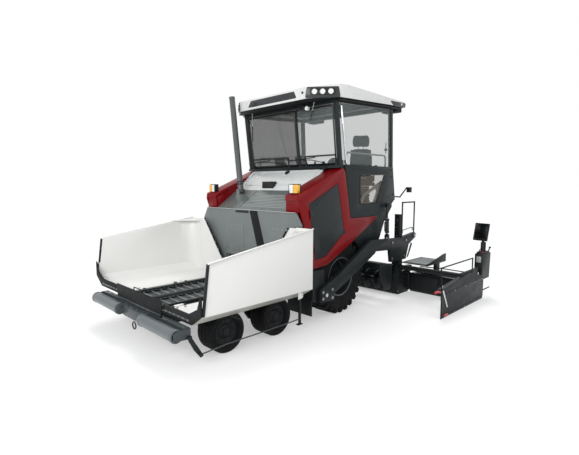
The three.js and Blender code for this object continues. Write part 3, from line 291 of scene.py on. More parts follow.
def turned(profile, centre, axis="X", steps=48, open_ends=False):
    """A turned part: profile points are (place along the axis, radius)."""
    part = bmesh.new()
    rings = []
    for a, r in profile:
        if r < 1e-5:
            rings.append([part.verts.new(spot(axis, 0, 0, a))])
            continue
        rings.append([part.verts.new(spot(axis, p, q, a)) for p, q in circle(r, steps)])
    pairs = list(zip(rings, rings[1:]))
    if not open_ends:
        pairs.append((rings[-1], rings[0]))
    for one, two in pairs:
        for k in range(steps):
            corners = [
                one[(k - 1) % len(one)], one[k % len(one)], two[k % len(two)], two[(k - 1) % len(two)]
            ]
            corners = list(dict.fromkeys(corners))
            if len(corners) > 2:
                part.faces.new(corners)
    bmesh.ops.recalc_face_normals(part, faces=part.faces[:])
    return shift(part, *centre)


def sleeve(start, end, inner, outer):
    """A ring between two points, bored for the rod that runs through it."""
    length = (end - start).length
    part = turned([(0, inner), (0, outer), (length, outer), (length, inner)], ORIGIN, "Z", 28)
    aim = (end - start).to_track_quat("Z", "Y").to_matrix().to_4x4()
    bmesh.ops.transform(part, matrix=Matrix.Translation(start) @ aim, verts=part.verts[:])
    return part


def disc(axis, centre, radius, depth, soft=0.003):
    """A round button or cap that stands out from its centre along the axis."""
    edge = min(soft, depth * 0.45)
    profile = [(0, 0), (0, radius), (depth - edge, radius), (depth, radius - edge), (depth, 0)]
    return turned(profile, centre, axis, 32, open_ends=True)


# ---- Repeated shapes -----------------------------------------------------------------------


WASHER_WIDER = 1.45
WASHER_THINNER = 0.5


def new_tree(name, **sizes):
    """A geometry tree with a geometry socket and the named sizes."""
    tree = bpy.data.node_groups.new(name, "GeometryNodeTree")
    tree.interface.new_socket("Geometry", in_out="INPUT", socket_type="NodeSocketGeometry")
    for label, kind in sizes.items():
        tree.interface.new_socket(label, in_out="INPUT", socket_type=f"NodeSocket{kind}")
    tree.interface.new_socket("Geometry", in_out="OUTPUT", socket_type="NodeSocketGeometry")
    return tree, tree.nodes.new("NodeGroupInput").outputs


def join_nodes(tree, *wires):
    for source, target in wires:
        tree.links.new(source, target)


def sum_node(tree, operation, *values):
    """A maths node whose inputs are numbers or sockets."""
    made = tree.nodes.new("ShaderNodeMath")
    made.operation = operation
    for socket, value in zip(made.inputs, values):
        if isinstance(value, float):
            socket.default_value = value
        else:
            tree.links.new(value, socket)
    return made.outputs["Value"]


def copied(tree, points, shape, rotation=None):
    """Ends a tree with real copies of a shape on its points."""
    copies = tree.nodes.new("GeometryNodeInstanceOnPoints")
    real = tree.nodes.new("GeometryNodeRealizeInstances")
    out = tree.nodes.new("NodeGroupOutput")
    join_nodes(
        tree,
        (points, copies.inputs["Points"]),
        (shape, copies.inputs["Instance"]),
        (copies.outputs["Instances"], real.inputs["Geometry"]),
        (real.outputs["Geometry"], out.inputs["Geometry"]),
    )
    if rotation is not None:
        tree.links.new(rotation, copies.inputs["Rotation"])
    return tree


def row_tree():
    """Copies of a shape in a straight row."""
    tree, given = new_tree("row", Count="Int", Step="Vector")
    line = tree.nodes.new("GeometryNodeMeshLine")
    join_nodes(tree, (given["Count"], line.inputs["Count"]), (given["Step"], line.inputs["Offset"]))
    return copied(tree, line.outputs["Mesh"], given["Geometry"])


def ring_tree():
    """Copies of a shape turned about the X axis."""
    tree, given = new_tree("ring", Count="Int", Turn="Float")
    line = tree.nodes.new("GeometryNodeMeshLine")
    line.inputs["Offset"].default_value = ORIGIN
    index = tree.nodes.new("GeometryNodeInputIndex").outputs["Index"]
    euler = tree.nodes.new("ShaderNodeCombineXYZ")
    angle = sum_node(tree, "MULTIPLY", index, given["Turn"])
    join_nodes(tree, (given["Count"], line.inputs["Count"]), (angle, euler.inputs["X"]))
    return copied(tree, line.outputs["Mesh"], given["Geometry"], euler.outputs["Vector"])


def bolt_tree():
    """A hexagon head on a washer at each point, facing the way the point's attribute says."""
    tree, given = new_tree("bolts", Radius="Float", Height="Float")
    facing = tree.nodes.new("GeometryNodeInputNamedAttribute")
    facing.data_type = "FLOAT_VECTOR"
    facing.inputs["Name"].default_value = "facing"
    align = tree.nodes.new("FunctionNodeAlignRotationToVector")
    align.axis = "Z"
    wider = sum_node(tree, "MULTIPLY", given["Radius"], WASHER_WIDER)
    thinner = sum_node(tree, "MULTIPLY", given["Height"], WASHER_THINNER)
    both = tree.nodes.new("GeometryNodeJoinGeometry")
    for sides, radius, depth in ((6, given["Radius"], given["Height"]), (14, wider, thinner)):
        head = tree.nodes.new("GeometryNodeMeshCylinder")
        head.inputs["Vertices"].default_value = sides
        join_nodes(
            tree,
            (radius, head.inputs["Radius"]),
            (depth, head.inputs["Depth"]),
            (head.outputs["Mesh"], both.inputs["Geometry"]),
        )
    tree.links.new(facing.outputs["Attribute"], align.inputs["Vector"])
    return copied(tree, given["Geometry"], both.outputs["Geometry"], align.outputs["Rotation"])


ROW, RING, BOLTS = row_tree(), ring_tree(), bolt_tree()


def grown(mesh, tree, **sizes):
    """The plain mesh that a tree makes from a mesh with these sizes."""
    host = new_object("host", mesh)
    modifier = host.modifiers.new("repeat", "NODES")
    modifier.node_group = tree
    labels = {item.name: item.identifier for item in tree.interface.items_tree if item.in_out == "INPUT"}
    for label, value in sizes.items():
        modifier[labels[label]] = value
    bpy.context.view_layer.update()
    ready = host.evaluated_get(bpy.context.evaluated_depsgraph_get())
    made = bpy.data.meshes.new_from_object(ready)
    host.modifiers.remove(modifier)
    bpy.data.objects.remove(host)
    return made


def as_mesh(*parts):
    whole = Shape().add(None, *parts)
    mesh = bpy.data.meshes.new("template")
    whole.mesh.to_mesh(mesh)
    whole.mesh.free()
    return mesh


def back_to_part(mesh):
    part = bmesh.new()
    part.from_mesh(mesh)
    bpy.data.meshes.remove(mesh)
    return part


def row(count, step, *parts):
    """Parts repeated in a row, as one new part."""
    return back_to_part(grown(as_mesh(*parts), ROW, Count=count, Step=step))


def ring(count, centre, *parts):
    """Parts drawn round the X axis, repeated all the way round and moved to their centre."""
    made = grown(as_mesh(*parts), RING, Count=count, Turn=2 * pi / count)
    return shift(back_to_part(made), *centre)


def bolts(places, radius, height):
    """Bolt heads at (point, facing) places."""
    mesh = bpy.data.meshes.new("places")
    mesh.from_pydata([place[0] for place in places], [], [])
    facing = mesh.attributes.new("facing", "FLOAT_VECTOR", "POINT")
    facing.data.foreach_set("vector", [number for place in places for number in place[1]])
    return back_to_part(grown(mesh, BOLTS, Radius=radius, Height=height))


def bolted(shape, places, radius, height, material=None):
    """The shape with bolt heads added, in zinc unless another material is given."""
    material = material or ZINC
    return shape.add(material, bolts(places, radius, height))


def along(start, end, count, facing):
    """Evenly spaced bolt places on a line."""
    start, end = Vector(start), Vector(end)
    steps = max(count - 1, 1)
    return [(start.lerp(end, k / steps), facing) for k in range(count)]


def on_side(x, spots):
    """Bolt places on a face that looks out sideways."""
    return [(Vector((x, y, z)), (1, 0, 0)) for y, z in spots]


# ---- Finishes ------------------------------------------------------------------------------


def tint(code):
    """A linear colour from its six-digit code."""
    values = [int(code[i : i + 2], 16) / 255 for i in (0, 2, 4)]
    return (*[v / 12.92 if v <= 0.04045 else ((v + 0.055) / 1.055) ** 2.4 for v in values], 1.0)


def scaled(color, factor):
    return (*[min(1.0, c * factor) for c in color[:3]], 1.0)


DUST = "8f8a80"


class Finish:
    """A material under construction, patterned on the piece's own coordinates."""

    def __init__(self, name, code, rough, metal=0.0):
        self.material = bpy.data.materials.new(name)
        self.material.use_nodes = True
        self.tree = self.material.node_tree
        self.shader = self.tree.nodes["Principled BSDF"]
        self.color = tint(code)
        self.rough = rough
        self.set(**{"Base Color": self.color, "Roughness": rough, "Metallic": metal})
        self.place = self.node("ShaderNodeTexCoord").outputs["Object"]

    def node(self, kind, **values):
        made = self.tree.nodes.new(kind)
        for label, value in values.items():
            setattr(made, label, value)
        return made

    def wire(self, source, target):
        self.tree.links.new(source, target)

    def set(self, **values):
        for label, value in values.items():
            self.shader.inputs[label].default_value = value
        return self

    def noise(self, scale, detail=4.0, stretch=None):
        made = self.node("ShaderNodeTexNoise")
        made.inputs["Scale"].default_value = scale
        made.inputs["Detail"].default_value = detail
        source = self.place
        if stretch:
            mapping = self.node("ShaderNodeMapping")
            mapping.inputs["Scale"].default_value = stretch
            self.wire(source, mapping.inputs["Vector"])
            source = mapping.outputs["Vector"]
        self.wire(source, made.inputs["Vector"])
        return made.outputs["Fac"]

    def ramp(self, source, low, high, start=0.0, end=1.0):
        made = self.node("ShaderNodeMapRange")
        made.inputs["From Min"].default_value = low
        made.inputs["From Max"].default_value = high
        made.inputs["To Min"].default_value = start
        made.inputs["To Max"].default_value = end
        self.wire(source, made.inputs["Value"])
        return made.outputs["Result"]

    def blend(self, factor, one, two):
        made = self.node("ShaderNodeMix", data_type="RGBA")
        self.wire(factor, made.inputs["Factor"])
        for socket, value in ((made.inputs[6], one), (made.inputs[7], two)):
            if isinstance(value, tuple):
                socket.default_value = value
            else:
                self.wire(value, socket)
        return made.outputs[2]

    def product(self, one, two):
        return sum_node(self.tree, "MULTIPLY", one, two)

    def toned(self, spread=0.06, scale=2.2, stretch=None):
        """Slow colour changes over the surface."""
        drift = self.ramp(self.noise(scale, 5.0, stretch), 0.3, 0.7)
        self.tone = self.blend(drift, scaled(self.color, 1 - spread), scaled(self.color, 1 + spread))
        self.wire(self.tone, self.shader.inputs["Base Color"])
        return self

    def dusty(self, amount, top=1.2):
        """Dust that lies thickest near the ground."""
        height = self.node("ShaderNodeSeparateXYZ")
        self.wire(self.place, height.inputs["Vector"])
        low = self.ramp(height.outputs["Z"], top, 0.0, 0.0, amount)
        patches = self.ramp(self.noise(7.0, 6.0), 0.35, 0.7)
        dust = self.blend(self.product(low, patches), self.tone, tint(DUST))
        self.wire(dust, self.shader.inputs["Base Color"])
        return self

    def scuffed(self, spread=0.08, scale=11.0, stretch=None):
        """Roughness that varies with handling."""
        marks = self.noise(scale, 6.0, stretch)
        smear = self.ramp(marks, 0.25, 0.75, self.rough - spread, self.rough + spread)
        self.wire(smear, self.shader.inputs["Roughness"])
        return self

    def grained(self, scale, depth, stretch=None, detail=3.0):
        """Fine relief."""
        bump = self.node("ShaderNodeBump")
        bump.inputs["Strength"].default_value = 0.6
        bump.inputs["Distance"].default_value = depth
        self.wire(self.noise(scale, detail, stretch), bump.inputs["Height"])
        self.wire(bump.outputs["Normal"], self.shader.inputs["Normal"])
        return self


def paint(name, code, rough, coat=0.0, dust=0.0, peel=0.0001, spread=0.05, shine=0.5):
    """Sprayed paint: a little orange peel, handling marks and dust low down."""
    made = Finish(name, code, rough).toned(spread)
    made.scuffed(min(0.05, rough * 0.2), 5.0).grained(200.0, peel)
    made.set(**{"Coat Weight": coat, "Coat Roughness": 0.06, "Specular IOR Level": shine})
    if dust:
        made.dusty(dust)
    return made.material


def bare_metal(name, code, rough, stretch=(1, 12, 1), depth=0.0006):
    """Worn or brushed steel with streaks along one direction."""
    made = Finish(name, code, rough, 1.0).toned(0.16, 3.0, stretch).scuffed(0.1, 9.0, stretch)
    return made.grained(60.0, depth, stretch).material


def rubber(name, code, rough=0.8, dust=0.25):
    made = Finish(name, code, rough).toned(0.18, 5.0).dusty(dust, 0.9).scuffed(0.1)
    made.set(**{"Specular IOR Level": 0.15})
    return made.grained(140.0, 0.0012, detail=6.0).material


def moulded(name, code, rough=0.5, coat=0.0):
    """Moulded plastic with a fine pebbled skin."""
    made = Finish(name, code, rough).toned(0.05, 4.0).scuffed(0.06)
    made.set(**{"Coat Weight": coat, "Coat Roughness": 0.1, "Specular IOR Level": 0.3})
    return made.grained(420.0, 0.0005, detail=1.0).material


def glass(name, code, see_through):
    made = Finish(name, code, 0.03).toned(0.03, 1.0)
    made.set(**{"Alpha": see_through, "Specular IOR Level": 0.4})
    return made.scuffed(0.02, 3.0).material


def lamp_lens(name, code):
    """A ribbed lens under a clear coat."""
    made = Finish(name, code, 0.12).toned(0.08, 30.0)
    made.set(**{"Coat Weight": 1.0, "Coat Roughness": 0.03})
    return made.grained(90.0, 0.002, (1, 1, 14), 0.0).material


def cloth(name, code):
    """Woven cover: two crossed bands of thread."""
    made = Finish(name, code, 0.9).toned(0.14, 9.0)
    heights = []
    for direction in ("X", "Z"):
        wave = made.node("ShaderNodeTexWave", wave_type="BANDS", bands_direction=direction)
        wave.inputs["Scale"].default_value = 120.0
        wave.inputs["Distortion"].default_value = 0.6
        made.wire(made.place, wave.inputs["Vector"])
        heights.append(wave.outputs["Fac"])
    weave = made.product(*heights)
    bump = made.node("ShaderNodeBump")
    bump.inputs["Distance"].default_value = 0.0015
    made.wire(weave, bump.inputs["Height"])
    made.wire(bump.outputs["Normal"], made.shader.inputs["Normal"])
    made.set(**{"Sheen Weight": 0.12, "Sheen Roughness": 0.5, "Specular IOR Level": 0.2})
    return made.material


DARK = paint("dark_paint", "1f2426", 0.46, 0.03, dust=0.04, shine=0.15)
DARK_PANEL = paint("dark_panel_paint", "262b2d", 0.4, 0.04, shine=0.15)
SCREED_DARK = paint("screed_paint", "1c2022", 0.48, 0.02, dust=0.05, shine=0.15)
RED = paint("red_paint", "7c040c", 0.32, 0.06, peel=0.00003, spread=0.02, shine=0.16)
WHITE = paint("white_paint", "e9e9e6", 0.34, 0.25, peel=0.00008, spread=0.006)
HOOD_GREY = paint("hood_grey_paint", "6a7371", 0.3, 0.15, peel=0.00002, spread=0.02, shine=0.35)
STACK_GREY = paint("stack_grey_paint", "4b4f50", 0.4, 0.15, spread=0.08)
LID_WHITE = paint("lid_light_paint", "dbdedd", 0.26, 0.3, peel=0.00003, spread=0.02)
WALL_GREY = paint("wall_grey_paint", "727978", 0.46, 0.08, spread=0.07)
LIGHT_GREY = paint("light_grey_paint", "a9adac", 0.35, 0.3, spread=0.03)
# Painted shade: the wings' white, darkened for their low faces that do not look up and catch less light.
WING_PAINTED_SHADE = paint("wing_painted_shade_paint", "b1b0a9", 0.42, 0.1, spread=0.03)
BEAM_GREY = paint("beam_grey_paint", "3d4447", 0.4, 0.1, dust=0.05, shine=0.3)
ROLLER_GREY = paint("roller_grey_paint", "565d60", 0.34, 0.25, dust=0.05, shine=0.4)
STEEL = bare_metal("rolled_steel", "7d8182", 0.38)
WORN_STEEL = bare_metal("worn_dark_steel", "35393b", 0.5, (1, 1, 1))
SLAT_STEEL = bare_metal("slat_steel", "3b3f41", 0.45, (12, 1, 1))
BRIGHT = bare_metal("bright_steel", "c9cdce", 0.16, (1, 1, 8), 0.0002)
ZINC = bare_metal("zinc_steel", "9a9e9e", 0.3, (1, 1, 1), 0.0002)
TYRE = rubber("tyre_rubber", "131415", 0.8, 0.04)
HUB_DARK = paint("hub_paint", "191d1f", 0.5, 0.02, dust=0.03, shine=0.15)
STRIP = rubber("strip_rubber", "1c1d1e", 0.62, 0.03)
BLACK = moulded("black_plastic", "17191a", 0.48, 0.1)
ROOF_SHELL = moulded("roof_shell_plastic", "e4e5e3", 0.3, 0.3)
DARK_SHELL = moulded("dark_shell_plastic", "2c3032", 0.35, 0.3)
LINER = moulded("roof_liner", "1d2021", 0.75)
CLEAR = glass("clear_glass", "7c8584", 0.3)
TINTED = glass("tinted_glass", "4f524f", 0.52)
SMOKED = glass("smoked_glass", "716b60", 0.36)
LENS = lamp_lens("clear_lens", "eef1ee")
AMBER = lamp_lens("amber_lens", "f2b30c")
RED_GRIP = moulded("red_grip_plastic", "b5242b", 0.4, 0.3)
SCREEN = moulded("blank_screen", "0d1012", 0.12, 0.8)
SEAT_CLOTH = cloth("seat_cloth", "2f3333")
HEAD_CLOTH = cloth("headrest_cloth", "26281f")

# ---- Wheels --------------------------------------------------------------------------------

LUGS = 26  # in each of the tyre's two rows


def rear_tyre():
    """A wide tyre with two rows of slanted lugs that step over its shoulders."""
    half = TYRE_HALF
    base = TYRE_R - 0.024
    outer = [
        (half - 0.045, RIM_R),
        (half - 0.02, RIM_R + 0.004),
        (half - 0.012, RIM_R + 0.03),
        (half - 0.018, RIM_R + 0.045),
        (half - 0.002, RIM_R + 0.09),
        (half, RIM_R + 0.14),
        (half - 0.008, RIM_R + 0.146),
        (half - 0.003, RIM_R + 0.152),
        (half - 0.01, base - 0.075),
        (half - 0.03, base - 0.03),
        (half - 0.065, base - 0.006),
        (half - 0.12, base),
    ]
    inner = [(-a, r) for a, r in reversed(outer)]
    centre = (REAR_WHEEL.x, 0, TYRE_R)
    rows = []
    for way, offset in ((1, 0), (-1, 180 / LUGS)):
        across = [(0.01, -0.03), (half - 0.02, -0.05), (half - 0.02, 0.02), (0.01, 0.036)]
        over = [(half - 0.05, base - 0.02), (half - 0.001, base - 0.085), (half - 0.001, base - 0.04)]
        over.append((half - 0.022, TYRE_R - 0.006))
        lug = prism("Z", [(way * x, y) for x, y in across], base - 0.03, TYRE_R - 0.005, 0.005)
        shoulder = prism("Y", [(way * x, z) for x, z in over], -0.05, 0.018, 0.004)
        rows.append(ring(LUGS, centre, turn(lug, offset), turn(shoulder, offset)))
    return Shape().add(TYRE, turned(outer + inner, centre, steps=104), *rows)


def hexagon(x, place, radius, height):
    """A hexagon nut that faces along X."""
    points = [(place[0] + a, place[1] + b) for a, b in circle(radius, 6)]
    return prism("X", points, x, x + height, 0.002)


def rear_rim():
    """A dished rim with a bright lip, a hub cover and its nuts."""
    half = TYRE_HALF - 0.024
    centre = (REAR_WHEEL.x, 0, TYRE_R)
    outer = [(0.15, 0), (0.15, 0.06), (0.14, 0.085), (0.085, 0.1), (0.07, 0.15), (0.035, 0.165)]
    outer += [
        (0.025, 0.2), (0.025, 0.262), (0.045, 0.285), (0.13, 0.302), (0.165, 0.32), (half - 0.012, 0.325)
    ]
    lip = [(half - 0.012, 0.325), (half, 0.33), (half, 0.352), (half - 0.02, 0.356), (half - 0.024, 0.34)]
    inner = [
        (half - 0.024, RIM_R), (-half, RIM_R), (-half, 0.32), (-0.04, 0.29), (-0.118, 0.2), (-0.118, 0)
    ]
    nuts = ring(10, centre, hexagon(0.024, (0, 0.232), 0.017, 0.03))
    caps = ring(6, centre, hexagon(0.148, (0, 0.045), 0.008, 0.01))
    holes = ring(8, centre, shift(disc("X", (0, 0, 0), 0.021, 0.006), 0.06, 0, 0.292))
    body = turned(outer + inner, centre, steps=72, open_ends=True)
    ring_edge = turned(lip, centre, steps=72)
    return Shape().add(DARK, body, nuts).add(ZINC, caps).add(ROLLER_GREY, ring_edge).add(BLACK, holes)


def front_wheel(row_name):
    """A solid rubber band on a dished steel wheel."""
    half = FRONT_HALF
    centre = (FRONT_WHEEL.x, FRONT_AXLES[row_name], FRONT_R)
    band = [
        (half - 0.012, 0.2), (half, 0.212), (half - 0.006, 0.226), (half, 0.238), (half, FRONT_R - 0.022)
    ]
    band += [
        (half - 0.008, FRONT_R - 0.008), (half - 0.026, FRONT_R), (0.05, FRONT_R),
        (0.046, FRONT_R - 0.006)
    ]
    band += [(0.034, FRONT_R - 0.006), (0.03, FRONT_R)]
    band += [(-a, r) for a, r in reversed(band)]
    dish = [
        (half - 0.012, 0.2), (half - 0.006, 0.19), (half - 0.05, 0.176), (half - 0.075, 0.11),
        (half - 0.06, 0.095)
    ]
    dish += [
        (half - 0.045, 0.06), (half - 0.03, 0.056), (half - 0.026, 0.0), (half - 0.04, 0.0),
        (half - 0.1, 0.05)
    ]
    dish += [(-half + 0.03, 0.06), (-half + 0.01, 0.19), (-half + 0.012, 0.2)]
    nuts = ring(8, centre, hexagon(half - 0.068, (0, 0.142), 0.012, 0.016))
    shape = Shape().add(TYRE, turned(band, centre, steps=80))
    return shape.add(HUB_DARK, turned(dish, centre, steps=56)).add(DARK, nuts)


finish_pair(rear_tyre, "tyre", "rear_wheel_{}", ["rear_tyre_{}"])
finish_pair(rear_rim, "rim", "rear_wheel_{}", ["rear_rim_{}"])
for row_name in FRONT_AXLES:
    for side, flip in SIDES:
        name = f"front_wheel_{row_name}_{side}"
        finish(front_wheel(row_name), f"solid_wheel_{row_name}_{side}", name, [name], flip)

# ---- Rounded copies of the CAD parts -------------------------------------------------------

BODY_OF = {node: body for body, nodes in frame["record"]["behaviour"]["bodies"].items() for node in nodes}


def rounded_copy(node, width):
    """The node's faces, merged, with its sharp edges rounded, drawn from the rear axle."""
    part = bmesh.new()
    part.from_mesh(frame["nodes"][node].data)
    bmesh.ops.remove_doubles(part, verts=part.verts[:], dist=WELD)
    bmesh.ops.dissolve_limit(part, angle_limit=FLAT_ANGLE, verts=part.verts[:], edges=part.edges[:])
    soften(part, width)
    return shift(part, y=-AXLE_Y)


def zoned(part, base, zones=()):
    """A shape whose faces take the first finish whose test they pass, or else the base."""
    for face in part.faces:
        place = face.calc_center_median()
        passed = [i + 1 for i, zone in enumerate(zones) if zone[1](place, face.normal)]
        face.material_index = passed[0] if passed else 0
    shape = Shape()
    shape.materials = [base] + [zone[0] for zone in zones]
    appended(shape.mesh, part)
    return shape


# The wing faces that take the painted shade: low down and not facing up.
def wing_underside(place, out):
    return place.z < 0.76 and out.z < 0.3


def roof_underside(place, out):
    return place.z < 3.87 and out.z < -0.7


# The nodes, their finish, their slot, how much their edges are rounded, and faces finished otherwise.
REFINED = (
    ("chassis_frame platform tow_bracket_{} wheel_house_{}", DARK, "dark_paint", 0.003, ()),
    ("bogie_beam_{} knuckle_1_{} knuckle_2_{} rear_drive_{}", DARK, "dark_paint", 0.004, ()),
    ("tow_arm_{} auger_bracket console_desk", DARK, "dark_paint", 0.005, ()),
    ("cab_frame cab_side_panel_{}", DARK_PANEL, "dark_paint", 0.004, ()),
    ("side_door_{}", DARK_PANEL, "dark_paint", 0.005, ()),
    ("engine_block", STEEL, "cast_steel", 0.004, ()),
    ("conveyor_deck", SLAT_STEEL, "dark_paint", 0.002, ()),
    ("push_beam", BEAM_GREY, "dark_paint", 0.005, ()),
    ("apron_center", STRIP, "rubber", 0.003, ()),
    ("hopper_rear_wall", WALL_GREY, "grey_paint", 0.003, ()),
    ("side_frame_{}", RED, "red_paint", 0.008, ()),
    ("main_screed", SCREED_DARK, "screed_steel", 0.003, ()),
    ("auger_{}", WORN_STEEL, "cast_steel", 0.003, ()),
    ("lift_cylinder_{}", BLACK, "dark_paint", 0.003, ()),
    ("lift_rod_{}", WORN_STEEL, "bright_rod", 0.002, ()),
    # The wings' low faces get a painted shade of their white.
    ("hopper_wing_{}", WHITE, "white_paint", 0.004, [(WING_PAINTED_SHADE, wing_underside)]),
    ("hood_deck", HOOD_GREY, "grey_paint", 0.0, ()),
    ("hood_lid", LID_WHITE, "grey_paint", 0.005, ()),
    ("exhaust_stack", STACK_GREY, "grey_paint", 0.003, ()),
    ("roof", ROOF_SHELL, "white_shell", 0.014, [(LINER, roof_underside)]),
)


def refine():
    """Rounded, painted copies that stand for the nodes on both sides or in the middle."""
    for patterns, base, slot, width, zones in REFINED:
        for pattern in patterns.split():
            for node in sorted({pattern.format(side) for side in ("left", "right")}):
                shape = zoned(rounded_copy(node, width), base, zones)
                finish(shape, f"fine_{node}", BODY_OF[node], [node])


refine()

PLATE_RECESS = 0.011  # how far the end plate's outer skin lies inside its height gear


def screed_extensions():
    """The extensions, with the end plate's skin set in to leave room for the gear outside it."""
    for node in ("screed_extension_left", "screed_extension_right"):
        part = rounded_copy(node, 0.0)
        for vertex in part.verts:
            if abs(vertex.co.x) > END_OUT - 0.001 and vertex.co.z < 0.5:
                vertex.co.x -= PLATE_RECESS * (1 if vertex.co.x > 0 else -1)
        finish(zoned(soften(part, 0.003), SCREED_DARK), f"fine_{node}", node, [node])


screed_extensions()

# ---- Hopper --------------------------------------------------------------------------------


def wing_trim():
    """The lip, edge strip and rubber flap of a hopper wing."""
    lip = tube([(1.634, -3.078, 1.372), (1.634, -1.245, 1.645)], 0.011, sides=10)
    edge = prism(
        "X", [(-3.158, 0.75), (-3.132, 0.75), (-3.052, 1.366), (-3.078, 1.37)], 1.596, 1.631, 0.003
    )
    flap = [
        (1.612, 1.04), (1.612, 0.75), (1.395, 0.604), (0.71, 0.604), (0.71, 0.73), (1.33, 0.73),
        (1.53, 0.83)
    ]
    rubber_flap = prism("Y", flap, -3.176, -3.153, 0.004, 0.02)
    clamp = prism("Y", rect(0.74, 0.64, 1.36, 0.665), -3.1785, -3.1763, 0.0005)
    places = along((0.78, -3.1788, 0.652), (1.32, -3.1788, 0.652), 6, (0, -1, 0))
    hinge_bolts = []
    for y in (-2.9, -2.15, -1.4):
        hinge_bolts += along((0.70, y - 0.06, 0.628), (0.70, y + 0.06, 0.628), 2, (0, 0, 1))
    ribs = [block((1.39, 1.60), (y, y + 0.012), (0.585, 0.6), 0.002) for y in (-2.6, -1.9)]
    shape = Shape().add(WHITE, lip).add(DARK, edge, *ribs).add(STRIP, rubber_flap).add(BEAM_GREY, clamp)
    return bolted(bolted(shape, places, 0.008, 0.003), hinge_bolts, 0.011, 0.01)


finish_pair(wing_trim, "wing_trim", "hopper_wing_{}")


def wing_corner():
    """The curved sheet inside a wing's rear corner, with the bolted seal against the rear wall."""
    reach, thick = 0.26, 0.006
    angles = [pi / 2 * k / 8 for k in range(9)]
    bend = [(1.598 - reach + reach * cos(a), -1.264 - reach + reach * sin(a)) for a in angles]
    inner = [(x - thick * cos(a), y - thick * sin(a)) for a, (x, y) in zip(angles, bend)]
    sheet = prism("Z", bend + inner[::-1], 0.63, 1.592, 0.001)
    back = [(1.14, 1.628), (0.6, 0.93), (0.6, 0.83), (0.76, 0.66), (0.875, 0.625), (1.395, 0.628)]
    back += [(1.59, 0.76), (1.59, 1.628)]
    closing = prism("Y", back, -1.2665, -1.2605, 0.001)
    seal = prism(
        "Y", [(1.165, 1.628), (0.625, 0.93), (0.58, 0.93), (1.12, 1.628)], -1.2755, -1.2667, 0.002
    )
    places = along((1.11, -1.277, 1.585), (0.63, -1.277, 0.965), 6, (0, -1, 0))
    shape = Shape().add(WHITE, sheet, closing).add(STRIP, seal)
    return bolted(shape, places, 0.01, 0.008)


finish_pair(wing_corner, "wing_corner", "hopper_wing_{}")


def guide_rod():
    """The low bar outside the front wheels, from a bracket under the beam to the step post."""
    x = 1.335
    outline = [(-3.19, 0.43), (-3.13, 0.43), (-2.99, 0.2), (-2.95, 0.14), (-3.0, 0.12), (-3.09, 0.24)]
    bracket = prism("X", outline, 1.3, 1.316, 0.004, 0.02)
    arm = prism("X", [(-3.17, 0.44), (-3.15, 0.35), (-3.11, 0.35), (-3.12, 0.44)], 1.2902, 1.32, 0.004)
    bar = tube(
        [(x - 0.01, -3.01, 0.17), (x, -2.6, 0.2), (x, -1.9, 0.2), (x, -1.22, 0.21)], 0.009, 0.1, 10
    )
    boss = disc("X", (1.318, -3.01, 0.17), 0.022, 0.02)
    post = prism("Z", rect(1.315, -1.235, 1.35, -1.2), 0.13, 0.52, 0.005)
    foot = block((1.3, 1.36), (-1.27, -1.17), (0.12, 0.135), 0.003)
    tie = block((1.3, 1.345), (-1.238, -1.198), (0.505, 0.56), 0.004)
    return Shape().add(DARK, bracket, arm, boss, post, foot, tie).add(BEAM_GREY, bar)


finish_pair(guide_rod, "guide_rod", "machine")


def conveyor_details():
    """Flight bars, chain links, edge strips and the bolted middle cover of the two conveyors."""
    top = 0.6004
    shape = Shape()
    front, back = -3.06, -1.3
    pitch = 0.14
    count = int((back - front) / pitch)
    for low, high in ((-0.475, -0.07), (0.07, 0.475)):
        bar_profile = [
            (front, top), (front + 0.035, top), (front + 0.027, top + 0.014), (front + 0.008, top + 0.014)
        ]
        bars = row(count, (0, pitch, 0), prism("X", bar_profile, low, high, 0.002))
        shape.add(STEEL, bars)
        for x in (low + 0.028, high - 0.028):
            link = block((x - 0.018, x + 0.018), (front, front + 0.055), (top, top + 0.022), 0.005)
            shape.add(SLAT_STEEL, row(count * 2, (0, pitch / 2, 0), link))
    cover = prism(
        "Y", [(-0.06, top), (-0.035, top + 0.045), (0.035, top + 0.045), (0.06, top)], front, back, 0.005
    )
    shape.add(DARK, cover)
    for x in (-0.498, 0.498):
        outline = [(x - 0.018, top), (x - 0.018, top + 0.04), (x + 0.018, top + 0.04), (x + 0.018, top)]
        shape.add(DARK, prism("Y", outline, front, back, 0.004))
    places = along((0, front + 0.06, top + 0.046), (0, back - 0.06, top + 0.046), 9, (0, 0, 1))
    return bolted(shape, places, 0.01, 0.01)


finish(conveyor_details(), "conveyor_flights", "machine")


def apron_trim():
    """Fixings along the foot of the front flap and a bar handle."""
    places = along((-0.64, -3.2, 0.565), (0.64, -3.2, 0.565), 9, (0, -1, 0))
    strap = block((-0.68, 0.68), (-3.2035, -3.1985), (0.55, 0.58), 0.001)
    bar = [(-0.12, -3.19, 0.772), (-0.12, -3.19, 0.81), (0.12, -3.19, 0.81), (0.12, -3.19, 0.772)]
    shape = Shape().add(BEAM_GREY, strap).add(BLACK, tube(bar, 0.008, 0.02))
    return bolted(shape, places, 0.009, 0.009)


finish(apron_trim(), "apron_trim", "machine")


def beam_trim():
    """Top treads, bolts, towing eye and middle plate of the push beam."""
    shape = Shape()
    for low, high in ((-1.26, -0.36), (0.36, 1.26)):
        shape.add(ROLLER_GREY, block((low, high), (-3.196, -3.124), (0.5352, 0.5412), 0.002))
    angles = [k * pi / 12 for k in range(25)]
    eye = tube([(0.05 + 0.05 * cos(a), -3.282, 0.3 + 0.05 * sin(a)) for a in angles], 0.011, sides=10)
    plate = prism("Z", rect(-0.3, -3.285, 0.3, -3.21), 0.5203, 0.527, 0.002)
    shape.add(BEAM_GREY, eye, plate)
    places = along((-1.2, -3.16, 0.5415), (-0.42, -3.16, 0.5415), 5, (0, 0, 1))
    places += [(Vector((-p.x, p.y, p.z)), f) for p, f in places]
    places += along((-0.24, -3.25, 0.5275), (0.24, -3.25, 0.5275), 4, (0, 0, 1))
    return bolted(shape, places, 0.011, 0.01)


finish(beam_trim(), "beam_trim", "machine")


